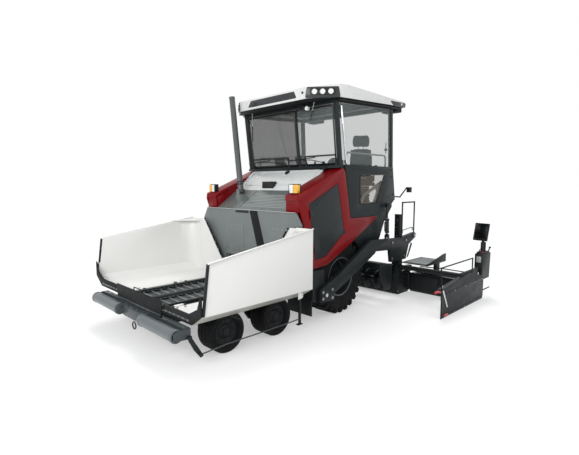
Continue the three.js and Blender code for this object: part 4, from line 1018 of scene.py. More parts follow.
def push_roller():
    """A roller with rolled end rings, a bright ring face and a bearing cap."""
    low, high = 0.352, 1.268
    r = ROLLER_R
    profile = [(low, 0.03), (low, r - 0.02), (low + 0.004, r - 0.004), (low + 0.012, r - 0.001)]
    profile += [
        (low + 0.05, r - 0.001), (low + 0.056, r - 0.006), (high - 0.056, r - 0.006),
        (high - 0.05, r - 0.001)
    ]
    profile += [(high - 0.012, r - 0.001), (high - 0.004, r - 0.004), (high, r - 0.02)]
    profile += [(high - 0.018, r - 0.026), (high - 0.018, 0.03)]
    centre = (0, ROLLER.y, ROLLER.z)
    shell = turned(profile, centre, steps=56)
    bearing = [(high - 0.02, 0), (high - 0.02, 0.045), (high - 0.004, 0.042), (high, 0.032), (high, 0)]
    cap = turned(bearing, centre, steps=32, open_ends=True)
    face = [(high - 0.019, 0.048), (high - 0.012, 0.05), (high - 0.012, 0.06), (high - 0.019, 0.062)]
    ring_face = turned(face, centre, steps=40)
    bolt_ring = ring(6, centre, hexagon(high - 0.006, (0, 0.024), 0.006, 0.006))
    return Shape().add(ROLLER_GREY, shell).add(BLACK, cap).add(BRIGHT, ring_face).add(ZINC, bolt_ring)


finish_pair(push_roller, "roller", "push_roller_{}", ["push_roller_{}"])


def wall_trim():
    """Slanted bolted strips, the middle flap, a pull slot, covers and the lip over the tunnel."""
    face = WALL_Y - 0.0005
    shape = Shape()
    slanted = [(1.315, 1.64, 1.05, 0.9), (1.03, 0.85, 0.905, 0.66)]
    places = []
    for mirror in (1, -1):
        for x0, z0, x1, z1 in slanted:
            along_edge = Vector((x1 - x0, z1 - z0)).normalized()
            side = Vector((along_edge.y, -along_edge.x)) * 0.035
            corners = [(x0, z0), (x1, z1), (x1 + side.x, z1 + side.y), (x0 + side.x, z0 + side.y)]
            corners = [(mirror * x, z) for x, z in corners]
            shape.add(DARK, prism("Y", corners, face - 0.012, face, 0.002))
            start = Vector((mirror * (x0 + side.x / 2), face - 0.013, z0 + side.y / 2 - 0.03))
            end = Vector((mirror * (x1 + side.x / 2), face - 0.013, z1 + side.y / 2 + 0.03))
            places += along(start, end, max(3, int((start - end).length / 0.13)), (0, -1, 0))
    top_edge = block((-1.19, 1.19), (face - 0.022, face + 0.02), (1.8503, 1.862), 0.003)
    shape.add(LIGHT_GREY, top_edge)
    strip_outline = [(0.10, 1.845), (0.29, 1.845), (0.50, 1.2), (0.50, 1.03), (0.36, 1.03)]
    flap = prism("Y", strip_outline, face - 0.012, face, 0.003, 0.02)
    slot_plate = prism("Y", rect(-0.30, 1.80, 0.06, 1.838), face - 0.008, face, 0.002, 0.012)
    shape.add(STRIP, flap).add(BLACK, slot_plate)
    for x0, x1, z0, z1 in ((-0.62, -0.08, 1.1, 1.6), (0.56, 0.95, 1.1, 1.6)):
        shape.add(WALL_GREY, block((x0, x1), (face - 0.004, face), (z0, z1), 0.0015))
        for z in (z0 + 0.03, z1 - 0.03):
            places += along((x0 + 0.04, face - 0.005, z), (x1 - 0.04, face - 0.005, z), 4, (0, -1, 0))
    hood_over_tunnel = block((-0.56, 0.56), (face - 0.03, face), (0.985, 1.02), 0.004)
    shape.add(DARK, hood_over_tunnel)
    places += along((-0.5, face - 0.031, 1.002), (0.5, face - 0.031, 1.002), 7, (0, -1, 0))
    return bolted(shape, places, 0.009, 0.009)


finish(wall_trim(), "rear_wall_trim", "machine")

# ---- Hood ----------------------------------------------------------------------------------


DECK_FRONT, DECK_LOW = -1.14, 1.85
DECK_BACK, DECK_HIGH = -0.65, 2.19
LID_BACK, LID_HIGH = -0.235, 2.55


def on_deck(y):
    """Height of the hood's front slope."""
    return DECK_LOW + (y - DECK_FRONT) * (DECK_HIGH - DECK_LOW) / (DECK_BACK - DECK_FRONT)


def deck_louvres():
    """The clean sheet over the hood's front slope, with light ribs, a dark seam, bolts and a lip."""
    shape = Shape()
    slope = atan2(DECK_HIGH - DECK_LOW, DECK_BACK - DECK_FRONT)
    step = 0.042
    rib = prism("X", [(0, 0), (0.003, 0.006), (0.009, 0.005), (0.014, 0)], -0.28, 0.9, 0.001)
    turn(rib, slope * 180 / pi)
    start = -1.06
    shift(rib, 0, start, on_deck(start) + 0.0028)
    sheet = [
        (y, on_deck(y) + rise)
        for y, rise in ((-1.135, 0.0006), (-0.655, 0.0006), (-0.655, 0.003), (-1.135, 0.003))
    ]
    shape.add(HOOD_GREY, prism("X", sheet, -0.925, 0.925, 0.0008))
    shape.add(LIGHT_GREY, row(9, (0, step * cos(slope), step * sin(slope)), rib))
    seam = [(-0.3, y, on_deck(y) + 0.003) for y in (-1.1, -0.68)]
    shape.add(DARK, tube(seam, 0.004, sides=6))
    places = []
    for y in (-1.09, -0.7):
        places += along(
            (-0.9, y, on_deck(y) + 0.004), (0.9, y, on_deck(y) + 0.004), 9, (0, -sin(slope), cos(slope))
        )
    lip_outline = [(-1.168, 1.83), (-1.145, 1.83), (-1.145, 1.858), (-1.168, 1.852)]
    lip = prism("X", lip_outline, -0.93, 0.93, 0.003)
    return bolted(shape.add(LIGHT_GREY, lip), places, 0.008, 0.006)


finish(deck_louvres(), "hood_deck_ribs", "machine")


def lid_trim():
    """Raised frame, window panel and latch of the engine lid."""
    slope = atan2(LID_HIGH - DECK_HIGH, LID_BACK - DECK_BACK)
    up = Vector((0, -sin(slope), cos(slope)))
    way = Vector((0, cos(slope), sin(slope)))
    origin = Vector((0, DECK_BACK, DECK_HIGH)) + up * 0.0005
    length = (Vector((0, LID_BACK, LID_HIGH)) - Vector((0, DECK_BACK, DECK_HIGH))).length
    shape = Shape()

    def laid(part, place):
        return shift(turn(part, slope * 180 / pi), *place)

    shape.add(LID_WHITE, laid(block((-0.86, 0.86), (0.16, length - 0.03), (0, 0.004), 0.002), origin))
    for x in (-0.885, 0.865):
        shape.add(LID_WHITE, laid(block((x, x + 0.02), (0.03, length - 0.01), (0, 0.012), 0.003), origin))
    for y in (0.135, length - 0.025):
        shape.add(LID_WHITE, laid(block((-0.885, 0.885), (y, y + 0.02), (0, 0.012), 0.003), origin))
    latch_at = origin + way * (length - 0.06) + up * 0.004 + Vector((0.12, 0, 0))
    collar_profile = [(0, 0.025), (0, 0.052), (0.012, 0.05), (0.016, 0.044), (0.016, 0.028)]
    collar = turned(collar_profile, ORIGIN, "Z", 32)
    knob = disc("Z", ORIGIN, 0.024, 0.012)
    grip = block((-0.006, 0.006), (-0.046, 0.046), (0.013, 0.021), 0.003)
    shape.add(BLACK, *[laid(part, latch_at) for part in (collar, knob, grip)])
    box = block((-0.22, 0.08), (-0.62, -0.52), (2.225, 2.35), 0.01)
    cover = block((-0.2, 0.06), (-0.626, -0.619), (2.245, 2.335), 0.002)
    return shape.add(BLACK, box, cover)


finish(lid_trim(), "hood_lid_trim", "hood_lid")


def stack_trim():
    """Clamps, mouth ring and dark opening of the exhaust stack."""
    foot, top = Vector((-0.56, -0.85, 2.17)), Vector((-0.8, -0.85, 3.94))
    way = (top - foot).normalized()
    shape = Shape()
    mouth = rod(top - way * 0.03, top + way * 0.0005, 0.056, 32, 0.002)
    hole = rod(top + way * 0.0006, top + way * 0.0026, 0.047, 32)
    shape.add(STACK_GREY, mouth).add(BLACK, hole)
    for share, radius in ((0.075, 0.062), (0.10, 0.062)):
        centre = foot.lerp(top, share)
        shape.add(DARK, rod(centre - way * 0.009, centre + way * 0.009, radius, 28, 0.002))
    ear = Vector((0, 0.068, 0))
    between = foot.lerp(top, 0.0875)
    return shape.add(ZINC, rod(between - ear, between + ear, 0.007, 10))


finish(stack_trim(), "stack_clamps", "exhaust_stack")


def corner_lamp():
    """A white and amber lamp pair in a dark bracket on a white stalk."""
    x, y = 1.1, -1.085
    stalk = [(2.058, 0.036), (2.066, 0.036), (2.078, 0.021), (2.142, 0.018), (2.146, 0)]
    shape = Shape().add(WHITE, turned(stalk, (x, y, 0), "Z", 24))
    shape.add(BLACK, block((x - 0.082, x + 0.082), (y - 0.035, y + 0.05), (2.146, 2.302), 0.006))
    white_lens = prism("Y", rect(x - 0.074, 2.158, x - 0.002, 2.29), y - 0.052, y - 0.034, 0.005)
    amber_lens = prism("Y", rect(x + 0.004, 2.158, x + 0.09, 2.29), y - 0.052, y + 0.02, 0.007)
    shape.add(LENS, white_lens).add(AMBER, amber_lens)
    guard_path = [(x - 0.09, y - 0.045, 2.15), (x - 0.09, y - 0.06, 2.23), (x - 0.09, y - 0.045, 2.305)]
    guard = tube(guard_path, 0.004, 0.01, 8)
    bar = block((0.975, 1.195), (-1.1445, -1.128), (2.045, 2.075), 0.005)
    return shape.add(BLACK, guard).add(WHITE, bar)


finish_pair(corner_lamp, "corner_lamp", "machine")

# ---- Side frames and doors -----------------------------------------------------------------


def rail_lining():
    """The red inner sheet that closes the space between a rail and the hood."""
    outline = [(-1.135, 1.80), (-1.13, 2.06), (-0.06, 2.50), (-0.06, 2.2), (-0.62, 1.80)]
    return Shape().add(RED, prism("X", outline, RAIL_IN + 0.002, RAIL_IN + 0.008, 0.001))


finish_pair(rail_lining, "rail_lining", "machine")


def door_trim():
    """A recessed latch and its lock on a side door."""
    face, y = 1.2485, -0.06
    outline = [(0.062, 1.425), (0.118, 1.435), (0.112, 1.5), (0.056, 1.49)]
    latch = shift(prism("X", outline, 1.2285, face + 0.002, 0.004, 0.01), y=y)
    return Shape().add(BLACK, latch, disc("X", (face + 0.001, y + 0.087, 1.463), 0.018, 0.008))


finish_pair(door_trim, "door_latch", "side_door_{}")


def cab_panel_trim():
    """Screws, the upright seam, the lower pane with its rubber edge, and the bracket behind it."""
    face = 1.2455
    shape = Shape()
    screws = [(0.07, 2.55), (0.30, 2.55), (1.5, 2.58), (0.22, 1.76), (0.32, 1.76)]
    screws += [(1.02, 1.75), (1.28, 1.80), (1.58, 2.1), (1.52, 2.45), (1.45, 2.06)]
    places = on_side(face + 0.001, screws)
    seam = block((face - 0.002, face + 0.0015), (0.345, 0.352), (1.712, 2.63), 0.0005)
    window = [(0.446, 2.466), (0.461, 1.941), (1.015, 1.942), (1.270, 2.490)]
    edge = eased([(face, y, z) for y, z in window], 0.03)
    seal = swept(edge, rect(0.009, 0.009, -0.009, -0.009), True)
    shape.add(BLACK, seam, seal)
    brace = [(0.488, 1.945), (0.6, 2.11), (1.2, 2.375), (1.25, 2.34), (1.06, 1.945)]
    hole = [(0.6, 1.965), (0.68, 2.08), (1.005, 2.215), (1.05, 2.17), (0.94, 1.965)]
    shape.add(SMOKED, prism("X", window, 1.229, 1.233, 0.001))
    shape.add(LIGHT_GREY, prism("X", brace, 1.196, 1.204, 0.002, 0.015, [hole]))
    tray = block((0.98, 1.19), (0.5, 0.72), (2.40, 2.425), 0.006)
    shape.add(LIGHT_GREY, tray)
    return bolted(shape, places, 0.014, 0.008, BLACK)


finish_pair(cab_panel_trim, "cab_panel_trim", "machine")


GLAZED = (
    ("windscreen_left", CLEAR),
    ("windscreen_right", TINTED),
    ("side_window_left", CLEAR),
    ("side_window_right", CLEAR),
)
for node, material in GLAZED:
    shape = zoned(rounded_copy(node, 0.001), material)
    finish(shape, f"pane_{node}", BODY_OF[node], [node])

# ---- Cab -----------------------------------------------------------------------------------


SCREEN_FOOT, SCREEN_LOW = -0.054, 2.6
SCREEN_TOP, SCREEN_HIGH = -0.185, 3.69


def a_line(z):
    """How far back the windscreens' outer face is at a height."""
    return SCREEN_FOOT + (z - SCREEN_LOW) * (SCREEN_TOP - SCREEN_FOOT) / (SCREEN_HIGH - SCREEN_LOW)


def screen_frame(x_low, x_high, width):
    """A dark frame round one windscreen."""
    path = [Vector((x, a_line(z) - 0.024, z)) for x, z in rect(x_low, 2.65, x_high, 3.63)]
    section = rect(width, 0.011, -width, -0.011)
    return swept(eased(path, 0.05), section, True)


def windscreen_fittings():
    """Frames, wiper arms and blades, gas struts, a camera and a lamp behind the glass."""
    shape = Shape().add(BLACK, screen_frame(-1.118, 0.215, 0.02), screen_frame(0.255, 1.118, 0.017))
    for pivot_x, tip_x, tip_z in ((-0.12, -0.86, 2.74), (0.85, 0.33, 2.75)):
        pivot = Vector((pivot_x, a_line(2.68) - 0.045, 2.68))
        tip = Vector((tip_x, a_line(tip_z) - 0.05, tip_z))
        elbow = pivot.lerp(tip, 0.5) + Vector((0, -0.012, 0.02))
        shape.add(BLACK, tube([pivot, elbow, tip], 0.007, sides=8))
        blade = [tip + Vector((-0.33, -0.004, -0.012)), tip + Vector((0.33, -0.004, 0.03))]
        shape.add(BLACK, tube(blade, 0.009, sides=6))
        shape.add(BLACK, disc("Y", (pivot.x, pivot.y - 0.012, pivot.z), 0.024, 0.03))
    for x0, z0, x1, z1 in ((-1.0, 3.18, -0.72, 3.62), (0.62, 3.42, 0.9, 3.62)):
        start = Vector((x0, a_line(z0) - 0.05, z0))
        end = Vector((x1, -0.42, z1 + 0.06))
        shape.add(BLACK, tube([start, start.lerp(end, 0.55)], 0.009, sides=10))
        shape.add(BRIGHT, tube([start.lerp(end, 0.55), end], 0.005, sides=8))
    cam = block((0.44, 0.60), (-0.34, -0.25), (3.6, 3.68), 0.012)
    shape.add(BLACK, cam, rod((0.52, -0.36, 3.62), (0.52, -0.33, 3.62), 0.022, 16, 0.003))
    shape.add(LENS, disc("Y", (0.70, -0.40, 3.60), 0.035, 0.05))
    return shape.add(BLACK, rod((0.70, -0.38, 3.60), (0.70, -0.38, 3.70), 0.01, 10))


finish(windscreen_fittings(), "windscreen_fittings", "machine")


def door_strut():
    """The bright grab rod beside the front post, the rail inside the side window and a gauge on it."""
    shape = Shape()
    low, high = Vector((1.226, 0.06, 2.66)), Vector((1.226, -0.1, 3.62))
    shape.add(BRIGHT, rod(low, high, 0.017, 16, 0.003))
    for point in (low.lerp(high, 0.03), low.lerp(high, 0.97)):
        y, z = point.y, point.z
        shape.add(BLACK, block((1.2, 1.232), (y - 0.022, y + 0.022), (z - 0.03, z + 0.03), 0.004))
    side_rail = [(1.15, 0.15, 2.62), (1.15, 0.15, 2.86), (1.15, 1.42, 2.86), (1.15, 1.42, 2.62)]
    shape.add(LIGHT_GREY, tube(side_rail, 0.016, 0.07))
    gauge = tube([(1.17, 1.4, 2.9), (1.17, 1.4, 3.12)], 0.008, sides=8)
    return shape.add(BLACK, gauge, block((1.155, 1.185), (1.37, 1.43), (2.95, 3.0), 0.004))


finish_pair(door_strut, "post_rod", "machine")


def work_lamp():
    """A black hooded work lamp on the rear gooseneck."""
    shape = Shape().add(BLACK, block((1.155, 1.235), (2.278, 2.352), (2.135, 2.236), 0.008))
    return shape.add(LENS, block((1.165, 1.225), (2.352, 2.358), (2.148, 2.222), 0.002))


finish_pair(work_lamp, "work_lamp", "machine")


# ---- Roof ----------------------------------------------------------------------------------

ROOF_HALF = 1.31
ROOF_FRONT = -0.6
LAMP_CORNER = Vector((0.88, -0.6))  # where a front corner's lamp panel starts
LAMP_END = Vector((1.31, -0.26))


def front_lamp_panel():
    """A dark panel across a front corner with three round lamps in a black oval."""
    way = (LAMP_END - LAMP_CORNER).normalized()
    half = (LAMP_END - LAMP_CORNER).length / 2
    angle = atan2(way.y, way.x) * 180 / pi
    middle_point = (LAMP_CORNER + LAMP_END) / 2
    shape = Shape()

    def placed(part):
        return shift(turn(part, angle, "Z"), middle_point.x, middle_point.y)

    face = [(-half - 0.02, 3.715), (half + 0.02, 3.715), (half - 0.01, 3.893), (-half + 0.01, 3.893)]
    shape.add(DARK_SHELL, placed(prism("Y", face, -0.018, 0.01, 0.006, 0.03)))
    pill = rect(-0.215, 3.755, 0.215, 3.868)
    shape.add(BLACK, placed(prism("Y", pill, -0.024, -0.016, 0.003, 0.055)))
    for x in (-0.135, 0.0, 0.135):
        lamp = turned(
            [(-0.024, 0.05), (-0.036, 0.047), (-0.038, 0.042), (-0.03, 0.04)], (x, 0, 3.812), "Y", 28
        )
        lens = disc("Y", (x, -0.022, 3.812), 0.041, -0.01, 0.002)
        bmesh.ops.recalc_face_normals(lens, faces=lens.faces[:])
        shape.add(ZINC, placed(lamp)).add(LENS, placed(lens))
    return shape


finish_pair(front_lamp_panel, "roof_lamp_panel", "machine")


def roof_trim():
    """The blank front plate and a round cap beside it."""
    plate = [(-0.62, 3.748), (0.66, 3.748), (0.60, 3.865), (-0.54, 3.865)]
    panel = prism("Y", plate, ROOF_FRONT - 0.008, ROOF_FRONT + 0.02, 0.004, 0.02)
    return Shape().add(DARK_SHELL, panel, disc("Y", (0.80, ROOF_FRONT - 0.01, 3.815), 0.02, 0.012))


finish(roof_trim(), "roof_front_plate", "machine")


def roof_side_panel():
    """The dark rear side panel with one lamp, and the dark gutter and tail under the shell."""
    shape = Shape()
    side = [(1.28, 3.885), (1.43, 3.80), (1.84, 3.818), (1.86, 3.905)]
    shape.add(DARK_SHELL, prism("X", side, ROOF_HALF - 0.01, ROOF_HALF + 0.008, 0.004, 0.02))
    shape.add(LENS, disc("X", (ROOF_HALF + 0.006, 1.70, 3.865), 0.022, 0.008))
    gutter = prism(
        "X", [(-0.2, 3.715), (-0.2, 3.69), (1.75, 3.79), (1.75, 3.815)], ROOF_HALF - 0.12,
        ROOF_HALF - 0.03, 0.006
    )
    shape.add(LINER, gutter)
    under_tail = block((0.85, 1.2), (1.70, 1.92), (3.745, 3.83), 0.02)
    return shape.add(LINER, under_tail)


finish_pair(roof_side_panel, "roof_side_panel", "machine")


def console():
    """Dials, lever and screens on the desk, and a steering wheel."""
    shape = Shape()
    wheel_at = Vector((0.7, 0.461, 2.641))
    turns = [k * 2 * pi / 40 for k in range(41)]
    rim = tube([(0.175 * cos(a), 0.175 * sin(a), 0) for a in turns], 0.014, sides=12)
    ends = [(0.165 * cos(a), 0.165 * sin(a), 0) for a in (0.5, pi - 0.5, -pi / 2)]
    spokes = [tube([(0, 0, -0.01), end], 0.011, sides=10) for end in ends]
    hub = disc("Z", (0, 0, -0.03), 0.045, 0.05, 0.01)
    for part in (rim, *spokes, hub):
        shape.add(BLACK, shift(turn(part, -52), *wheel_at))
    for x in (-0.55, 0.05):
        screen = block((x - 0.14, x + 0.14), (-0.012, 0.012), (-0.09, 0.09), 0.006)
        shape.add(BLACK, shift(turn(screen, 25), 0, 0.16, 2.76))
        shape.add(BLACK, rod((x, 0.16, 2.62), (x, 0.15, 2.70), 0.015, 12))
    for k in range(6):
        x = -0.9 + k * 0.06
        shape.add(DARK_SHELL, rod((x, 0.3, 2.56), (x, 0.29, 2.61), 0.008, 10, 0.002))
    for x in (0.32, 0.98):
        shape.add(BLACK, tube([(x, 0.3, 2.56), (x, 0.27, 2.68)], 0.01, sides=10))
        knob = [(2.67, 0), (2.68, 0.018), (2.71, 0.024), (2.735, 0.016), (2.74, 0)]
        shape.add(BLACK, turned(knob, (x, 0.268, 0), "Z", 20, True))
    return shape


finish(console(), "console_controls", "machine")

# ---- Seat ----------------------------------------------------------------------------------

SEAT_X, SEAT_Y = 0.78, 1.16
SEAT_TURN = 40
PAD_PRESSURE = 4.0
PAD_FRAMES = 20
BACK_LEAN = 0.118  # how far the back leans for each metre up


def inflated(part, cap, voxel):
    """The part swollen by a short cloth simulation, as a plain mesh; no point moves past the cap."""
    mesh = bpy.data.meshes.new("pad")
    part.to_mesh(mesh)
    part.free()
    host = new_object("pad", mesh)
    host.select_set(True)
    bpy.context.view_layer.objects.active = host
    remesh = host.modifiers.new("remesh", "REMESH")
    remesh.mode = "VOXEL"
    remesh.voxel_size = voxel
    bpy.ops.object.modifier_apply(modifier="remesh")
    rest = [v.co.copy() for v in host.data.vertices]
    cloth = host.modifiers.new("cloth", "CLOTH")
    cloth.settings.use_pressure = True
    cloth.settings.uniform_pressure_force = PAD_PRESSURE
    cloth.settings.effector_weights.gravity = 0.0
    cloth.point_cache.frame_start = 1
    cloth.point_cache.frame_end = PAD_FRAMES
    for step in range(1, PAD_FRAMES + 1):
        bpy.context.scene.frame_set(step)
    bpy.ops.object.modifier_apply(modifier="cloth")
    for vertex, start in zip(host.data.vertices, rest):
        move = vertex.co - start
        if move.length > cap:
            vertex.co = start + move.normalized() * cap
    bpy.context.scene.frame_set(1)
    smooth = host.modifiers.new("smooth", "SUBSURF")
    smooth.levels = smooth.render_levels = 1
    bpy.ops.object.modifier_apply(modifier="smooth")
    made = host.data.copy()
    bpy.data.objects.remove(host)
    return made


def pad(name, part, material, seams, cap=0.014, voxel=0.011):
    """A swollen cushion with sewn channels pressed in along its seams."""
    mesh = inflated(part, cap, voxel)
    for vertex in mesh.vertices:
        for axis, level, width, depth in seams:
            gap = abs(vertex.co[axis] - level)
            if gap < width:
                press = depth * (1 - gap / width) ** 2
                vertex.co -= vertex.normal * press
    mesh.transform(Matrix.Translation((SEAT_X, SEAT_Y, 0)) @ Matrix.Rotation(radians(SEAT_TURN), 4, "Z"))
    mesh.materials.clear()
    mesh.materials.append(material)
    piece = put(mesh, name, "machine")
    return piece


def swivelled(part):
    """Turns a part drawn round the seat's middle to where the seat faces."""
    return shift(turn(part, SEAT_TURN, "Z"), SEAT_X, SEAT_Y)


def mirrored(half_outline):
    """An outline from its right half."""
    return half_outline + [(-a, z) for a, z in reversed(half_outline)]


def seat():
    """The padded cushion, back and headrest, and the frame, bellows and arms that hold them."""
    cushion = prism(
        "Y",
        [(-0.235, 2.35), (0.235, 2.35), (0.245, 2.41), (0.22, 2.455), (-0.22, 2.455), (-0.245, 2.41)],
        -0.26, 0.26, 0.03
    )
    half_back = [(0.21, 2.44), (0.24, 2.56), (0.235, 2.86), (0.17, 3.035)]
    back = prism("Y", mirrored(half_back), 0.165, 0.265, 0.03, 0.07)
    head = prism("Y", mirrored([(0.17, 3.06), (0.18, 3.18), (0.16, 3.31)]), 0.19, 0.268, 0.03, 0.07)
    for part in (back, head):
        for vertex in part.verts:
            vertex.co.y += (vertex.co.z - 2.44) * BACK_LEAN
    pad("seat_cushion", cushion, SEAT_CLOTH, [(0, -0.13, 0.014, 0.009), (0, 0.13, 0.014, 0.009)])
    pad(
        "seat_back", back, SEAT_CLOTH,
        [(0, -0.12, 0.014, 0.009), (0, 0.12, 0.014, 0.009), (2, 2.69, 0.014, 0.008)]
    )
    pad("seat_headrest", head, HEAD_CLOTH, [(2, 3.12, 0.012, 0.006)], 0.012, 0.009)
    base = [block((-0.17, 0.17), (-0.16, 0.18), (1.905, 1.95), 0.008)]
    for k in range(6):
        z = 1.955 + k * 0.052
        half = 0.15 - 0.008 * (k % 2)
        base.append(block((-half, half), (-0.14, 0.16), (z, z + 0.048), 0.012))
    pan = block((-0.235, 0.235), (-0.24, 0.22), (2.268, 2.338), 0.02)
    shell = prism("X", [(0.278, 2.41), (0.293, 2.41), (0.352, 3.0), (0.335, 3.01)], -0.21, 0.21, 0.005)
    posts = [rod((a, 0.31, 2.95), (a, 0.322, 3.1), 0.008, 10) for a in (-0.05, 0.05)]
    arms = []
    arm_rest = [(-0.12, 2.62), (0.24, 2.62), (0.24, 2.67), (-0.12, 2.675)]
    for a in (-0.265, 0.265):
        arms.append(prism("X", arm_rest, a - 0.03, a + 0.03, 0.014))
        arms.append(prism("X", rect(0.2, 2.36, 0.26, 2.63), a - 0.012, a + 0.012, 0.004))
    shape = Shape().add(BLACK, *[swivelled(part) for part in (*base, pan, shell)])
    shape.add(BRIGHT, *[swivelled(part) for part in posts]).add(
        DARK_SHELL, *[swivelled(part) for part in arms]
    )
    finish(shape, "seat_frame", "machine", ["operator_seat"])


seat()

# ---- Tow arms and lift ---------------------------------------------------------------------

FENDER_R = TYRE_R + 0.09
LIFT_BORE = 0.0205  # the lift rod runs through this with a little to spare


def fender():
    """The curved mudguard behind the top of a rear tyre."""
    angles = [radians(12 + 5.5 * k) for k in range(14)]
    outer = [(FENDER_R * cos(a), TYRE_R + FENDER_R * sin(a)) for a in angles]
    inner = [
        ((FENDER_R - 0.012) * cos(a), TYRE_R + (FENDER_R - 0.012) * sin(a))
        for a in reversed(angles)
    ]
    return Shape().add(HUB_DARK, prism("X", outer + inner, 0.74, 1.225, 0.002))


finish_pair(fender, "rear_fender", "machine")


def tow_arm_trim():
    """The bolted end plate, pin caps, pins, bracket and grab rail of a tow arm."""
    face = ARM_OUT + 0.0004
    shape = Shape()
    plate = [(-0.735, 0.385), (-0.41, 0.37), (-0.40, 0.47), (-0.35, 0.53), (-0.42, 0.60), (-0.735, 0.585)]
    shape.add(DARK, prism("X", plate, face, face + 0.010, 0.004, 0.02))
    places = on_side(face + 0.012, [(-0.70, 0.43), (-0.70, 0.54), (-0.46, 0.41), (-0.46, 0.55)])
    places += on_side(face + 0.003, [(1.42, 0.83), (1.9, 0.83), (1.42, 1.15), (1.95, 1.15)])
    shape.add(BEAM_GREY, disc("X", (face + 0.01, -0.62, 0.48), 0.047, 0.014, 0.004))
    shape.add(BRIGHT, disc("X", (face + 0.024, -0.62, 0.48), 0.028, 0.006, 0.002))
    shape.add(BEAM_GREY, disc("X", (face, 1.265, 1.235), 0.03, 0.01))
    shape.add(BRIGHT, rod((1.30, 2.29, 1.225), (1.385, 2.29, 1.225), 0.03, 24, 0.004))
    collar = [(1.3605, 0.031), (1.3605, 0.052), (1.372, 0.05), (1.374, 0.033)]
    shape.add(BEAM_GREY, turned(collar, (0, 2.29, 1.225), "X", 28))
    bracket = [(1.98, 0.78), (2.04, 0.80), (2.2, 1.06), (2.14, 1.08)]
    shape.add(DARK, prism("X", bracket, 1.2895 + 0.071, 1.37, 0.002))
    rail = [(1.325, 1.86, 1.3), (1.325, 1.86, 1.36), (1.325, 2.26, 1.40), (1.325, 2.26, 1.33)]
    shape.add(ZINC, tube(rail, 0.012, 0.04))
    return bolted(shape, places, 0.017, 0.014)


finish_pair(tow_arm_trim, "tow_arm_trim", "screed")


def lift_trim():
    """Gland, wiper ring, end cap, ports and the hose between them on a lift cylinder."""
    low = LIFT_LOW
    way = (LIFT_HIGH - low).normalized()
    shape = Shape()
    gland = low + way * 0.33
    shape.add(DARK, sleeve(gland - way * 0.03, gland + way * 0.002, LIFT_BORE, 0.0435))
    shape.add(ZINC, sleeve(gland + way * 0.0025, gland + way * 0.009, LIFT_BORE, 0.029))
    foot = low + way * 0.06
    shape.add(DARK, sleeve(foot, foot + way * 0.03, 0.03, 0.0425))
    for share in (0.085, 0.28):
        at = low + way * share
        shape.add(ZINC, rod(at + Vector((0, -0.036, 0)), at + Vector((0, -0.062, 0)), 0.011, 12, 0.002))
    loop = ((0.085, 0.06), (0.10, 0.085), (0.2, 0.09), (0.265, 0.086), (0.28, 0.06))
    hose = [low + way * share + Vector((0, -out, 0)) for share, out in loop]
    return shape.add(STRIP, tube(hose, 0.008, 0.02, 10))


finish_pair(lift_trim, "lift_cylinder_trim", "lift_cylinder_{}")

# ---- Screed --------------------------------------------------------------------------------


def screed_body_trim():
    """Rear covers, tamper strip, front plate with its bolts, hoses and a tread on the main screed."""
    shape = Shape()
    for low, high in ((-1.24, -0.64), (-0.6, -0.02), (0.02, 0.6), (0.64, 1.24)):
        shape.add(SCREED_DARK, block((low, high), (2.2504, 2.2545), (0.14, 0.44), 0.0015))
    shape.add(BRIGHT, block((-1.27, 1.27), (1.7905, 1.795), (0.0045, 0.012), 0.0))
    shape.add(SCREED_DARK, block((-1.26, 1.26), (1.784, 1.7896), (0.10, 0.46), 0.003))
    places = along((-1.2, 1.783, 0.42), (1.2, 1.783, 0.42), 16, (0, -1, 0))
    for z in (0.487, 0.497):
        run = ((-1.1, 2.12, 0.01), (-0.4, 2.13, 0.03), (0.4, 2.12, 0.03), (1.1, 2.13, 0.01))
        hose = [(x, y + z * 0.1, z + rise) for x, y, rise in run]
        shape.add(STRIP, tube(hose, 0.011, 0.1, 10))
    shape.add(STEEL, block((-1.1, 1.1), (1.98, 2.08), (0.4805, 0.486), 0.002))
    return bolted(shape, places, 0.009, 0.008)


finish(screed_body_trim(), "main_screed_trim", "screed")


def side_block_trim():
    """Bolts, the tower's front cover and cap, a corner plate and three hoses at one screed end."""
    face = 1.2772
    shape = Shape()
    corners = [(1.82, 0.08), (2.2, 0.08), (1.82, 0.42), (2.2, 0.42), (1.84, 0.9), (2.0, 0.9)]
    places = on_side(face + 0.004, corners)
    tower_face = 1.855 - 0.0006
    shape.add(DARK, block((1.15, 1.245), (tower_face - 0.006, tower_face), (1.2, 1.62), 0.002))
    places += [(Vector((1.197, tower_face - 0.008, z)), (0, -1, 0)) for z in (1.24, 1.40, 1.56)]
    cap = block((1.13, 1.264), (1.85, 1.95), (1.6704, 1.682), 0.004)
    rear_corner = block((1.2775, 1.322), (2.19, 2.248), (0.05, 0.44), 0.004)
    shape.add(DARK, cap, rear_corner)
    for k in range(3):
        y = 1.87 + 0.03 * k
        run = [(1.22, y, 0.97), (1.2, y + 0.02, 1.04), (1.16, y + 0.06, 1.08)]
        run += [(1.10, y + 0.10, 1.02), (1.08, y + 0.12, 0.60)]
        shape.add(STRIP, tube(run, 0.011, 0.05, 10))
    return bolted(shape, places, 0.012, 0.01)


finish_pair(side_block_trim, "screed_end_trim", "screed")


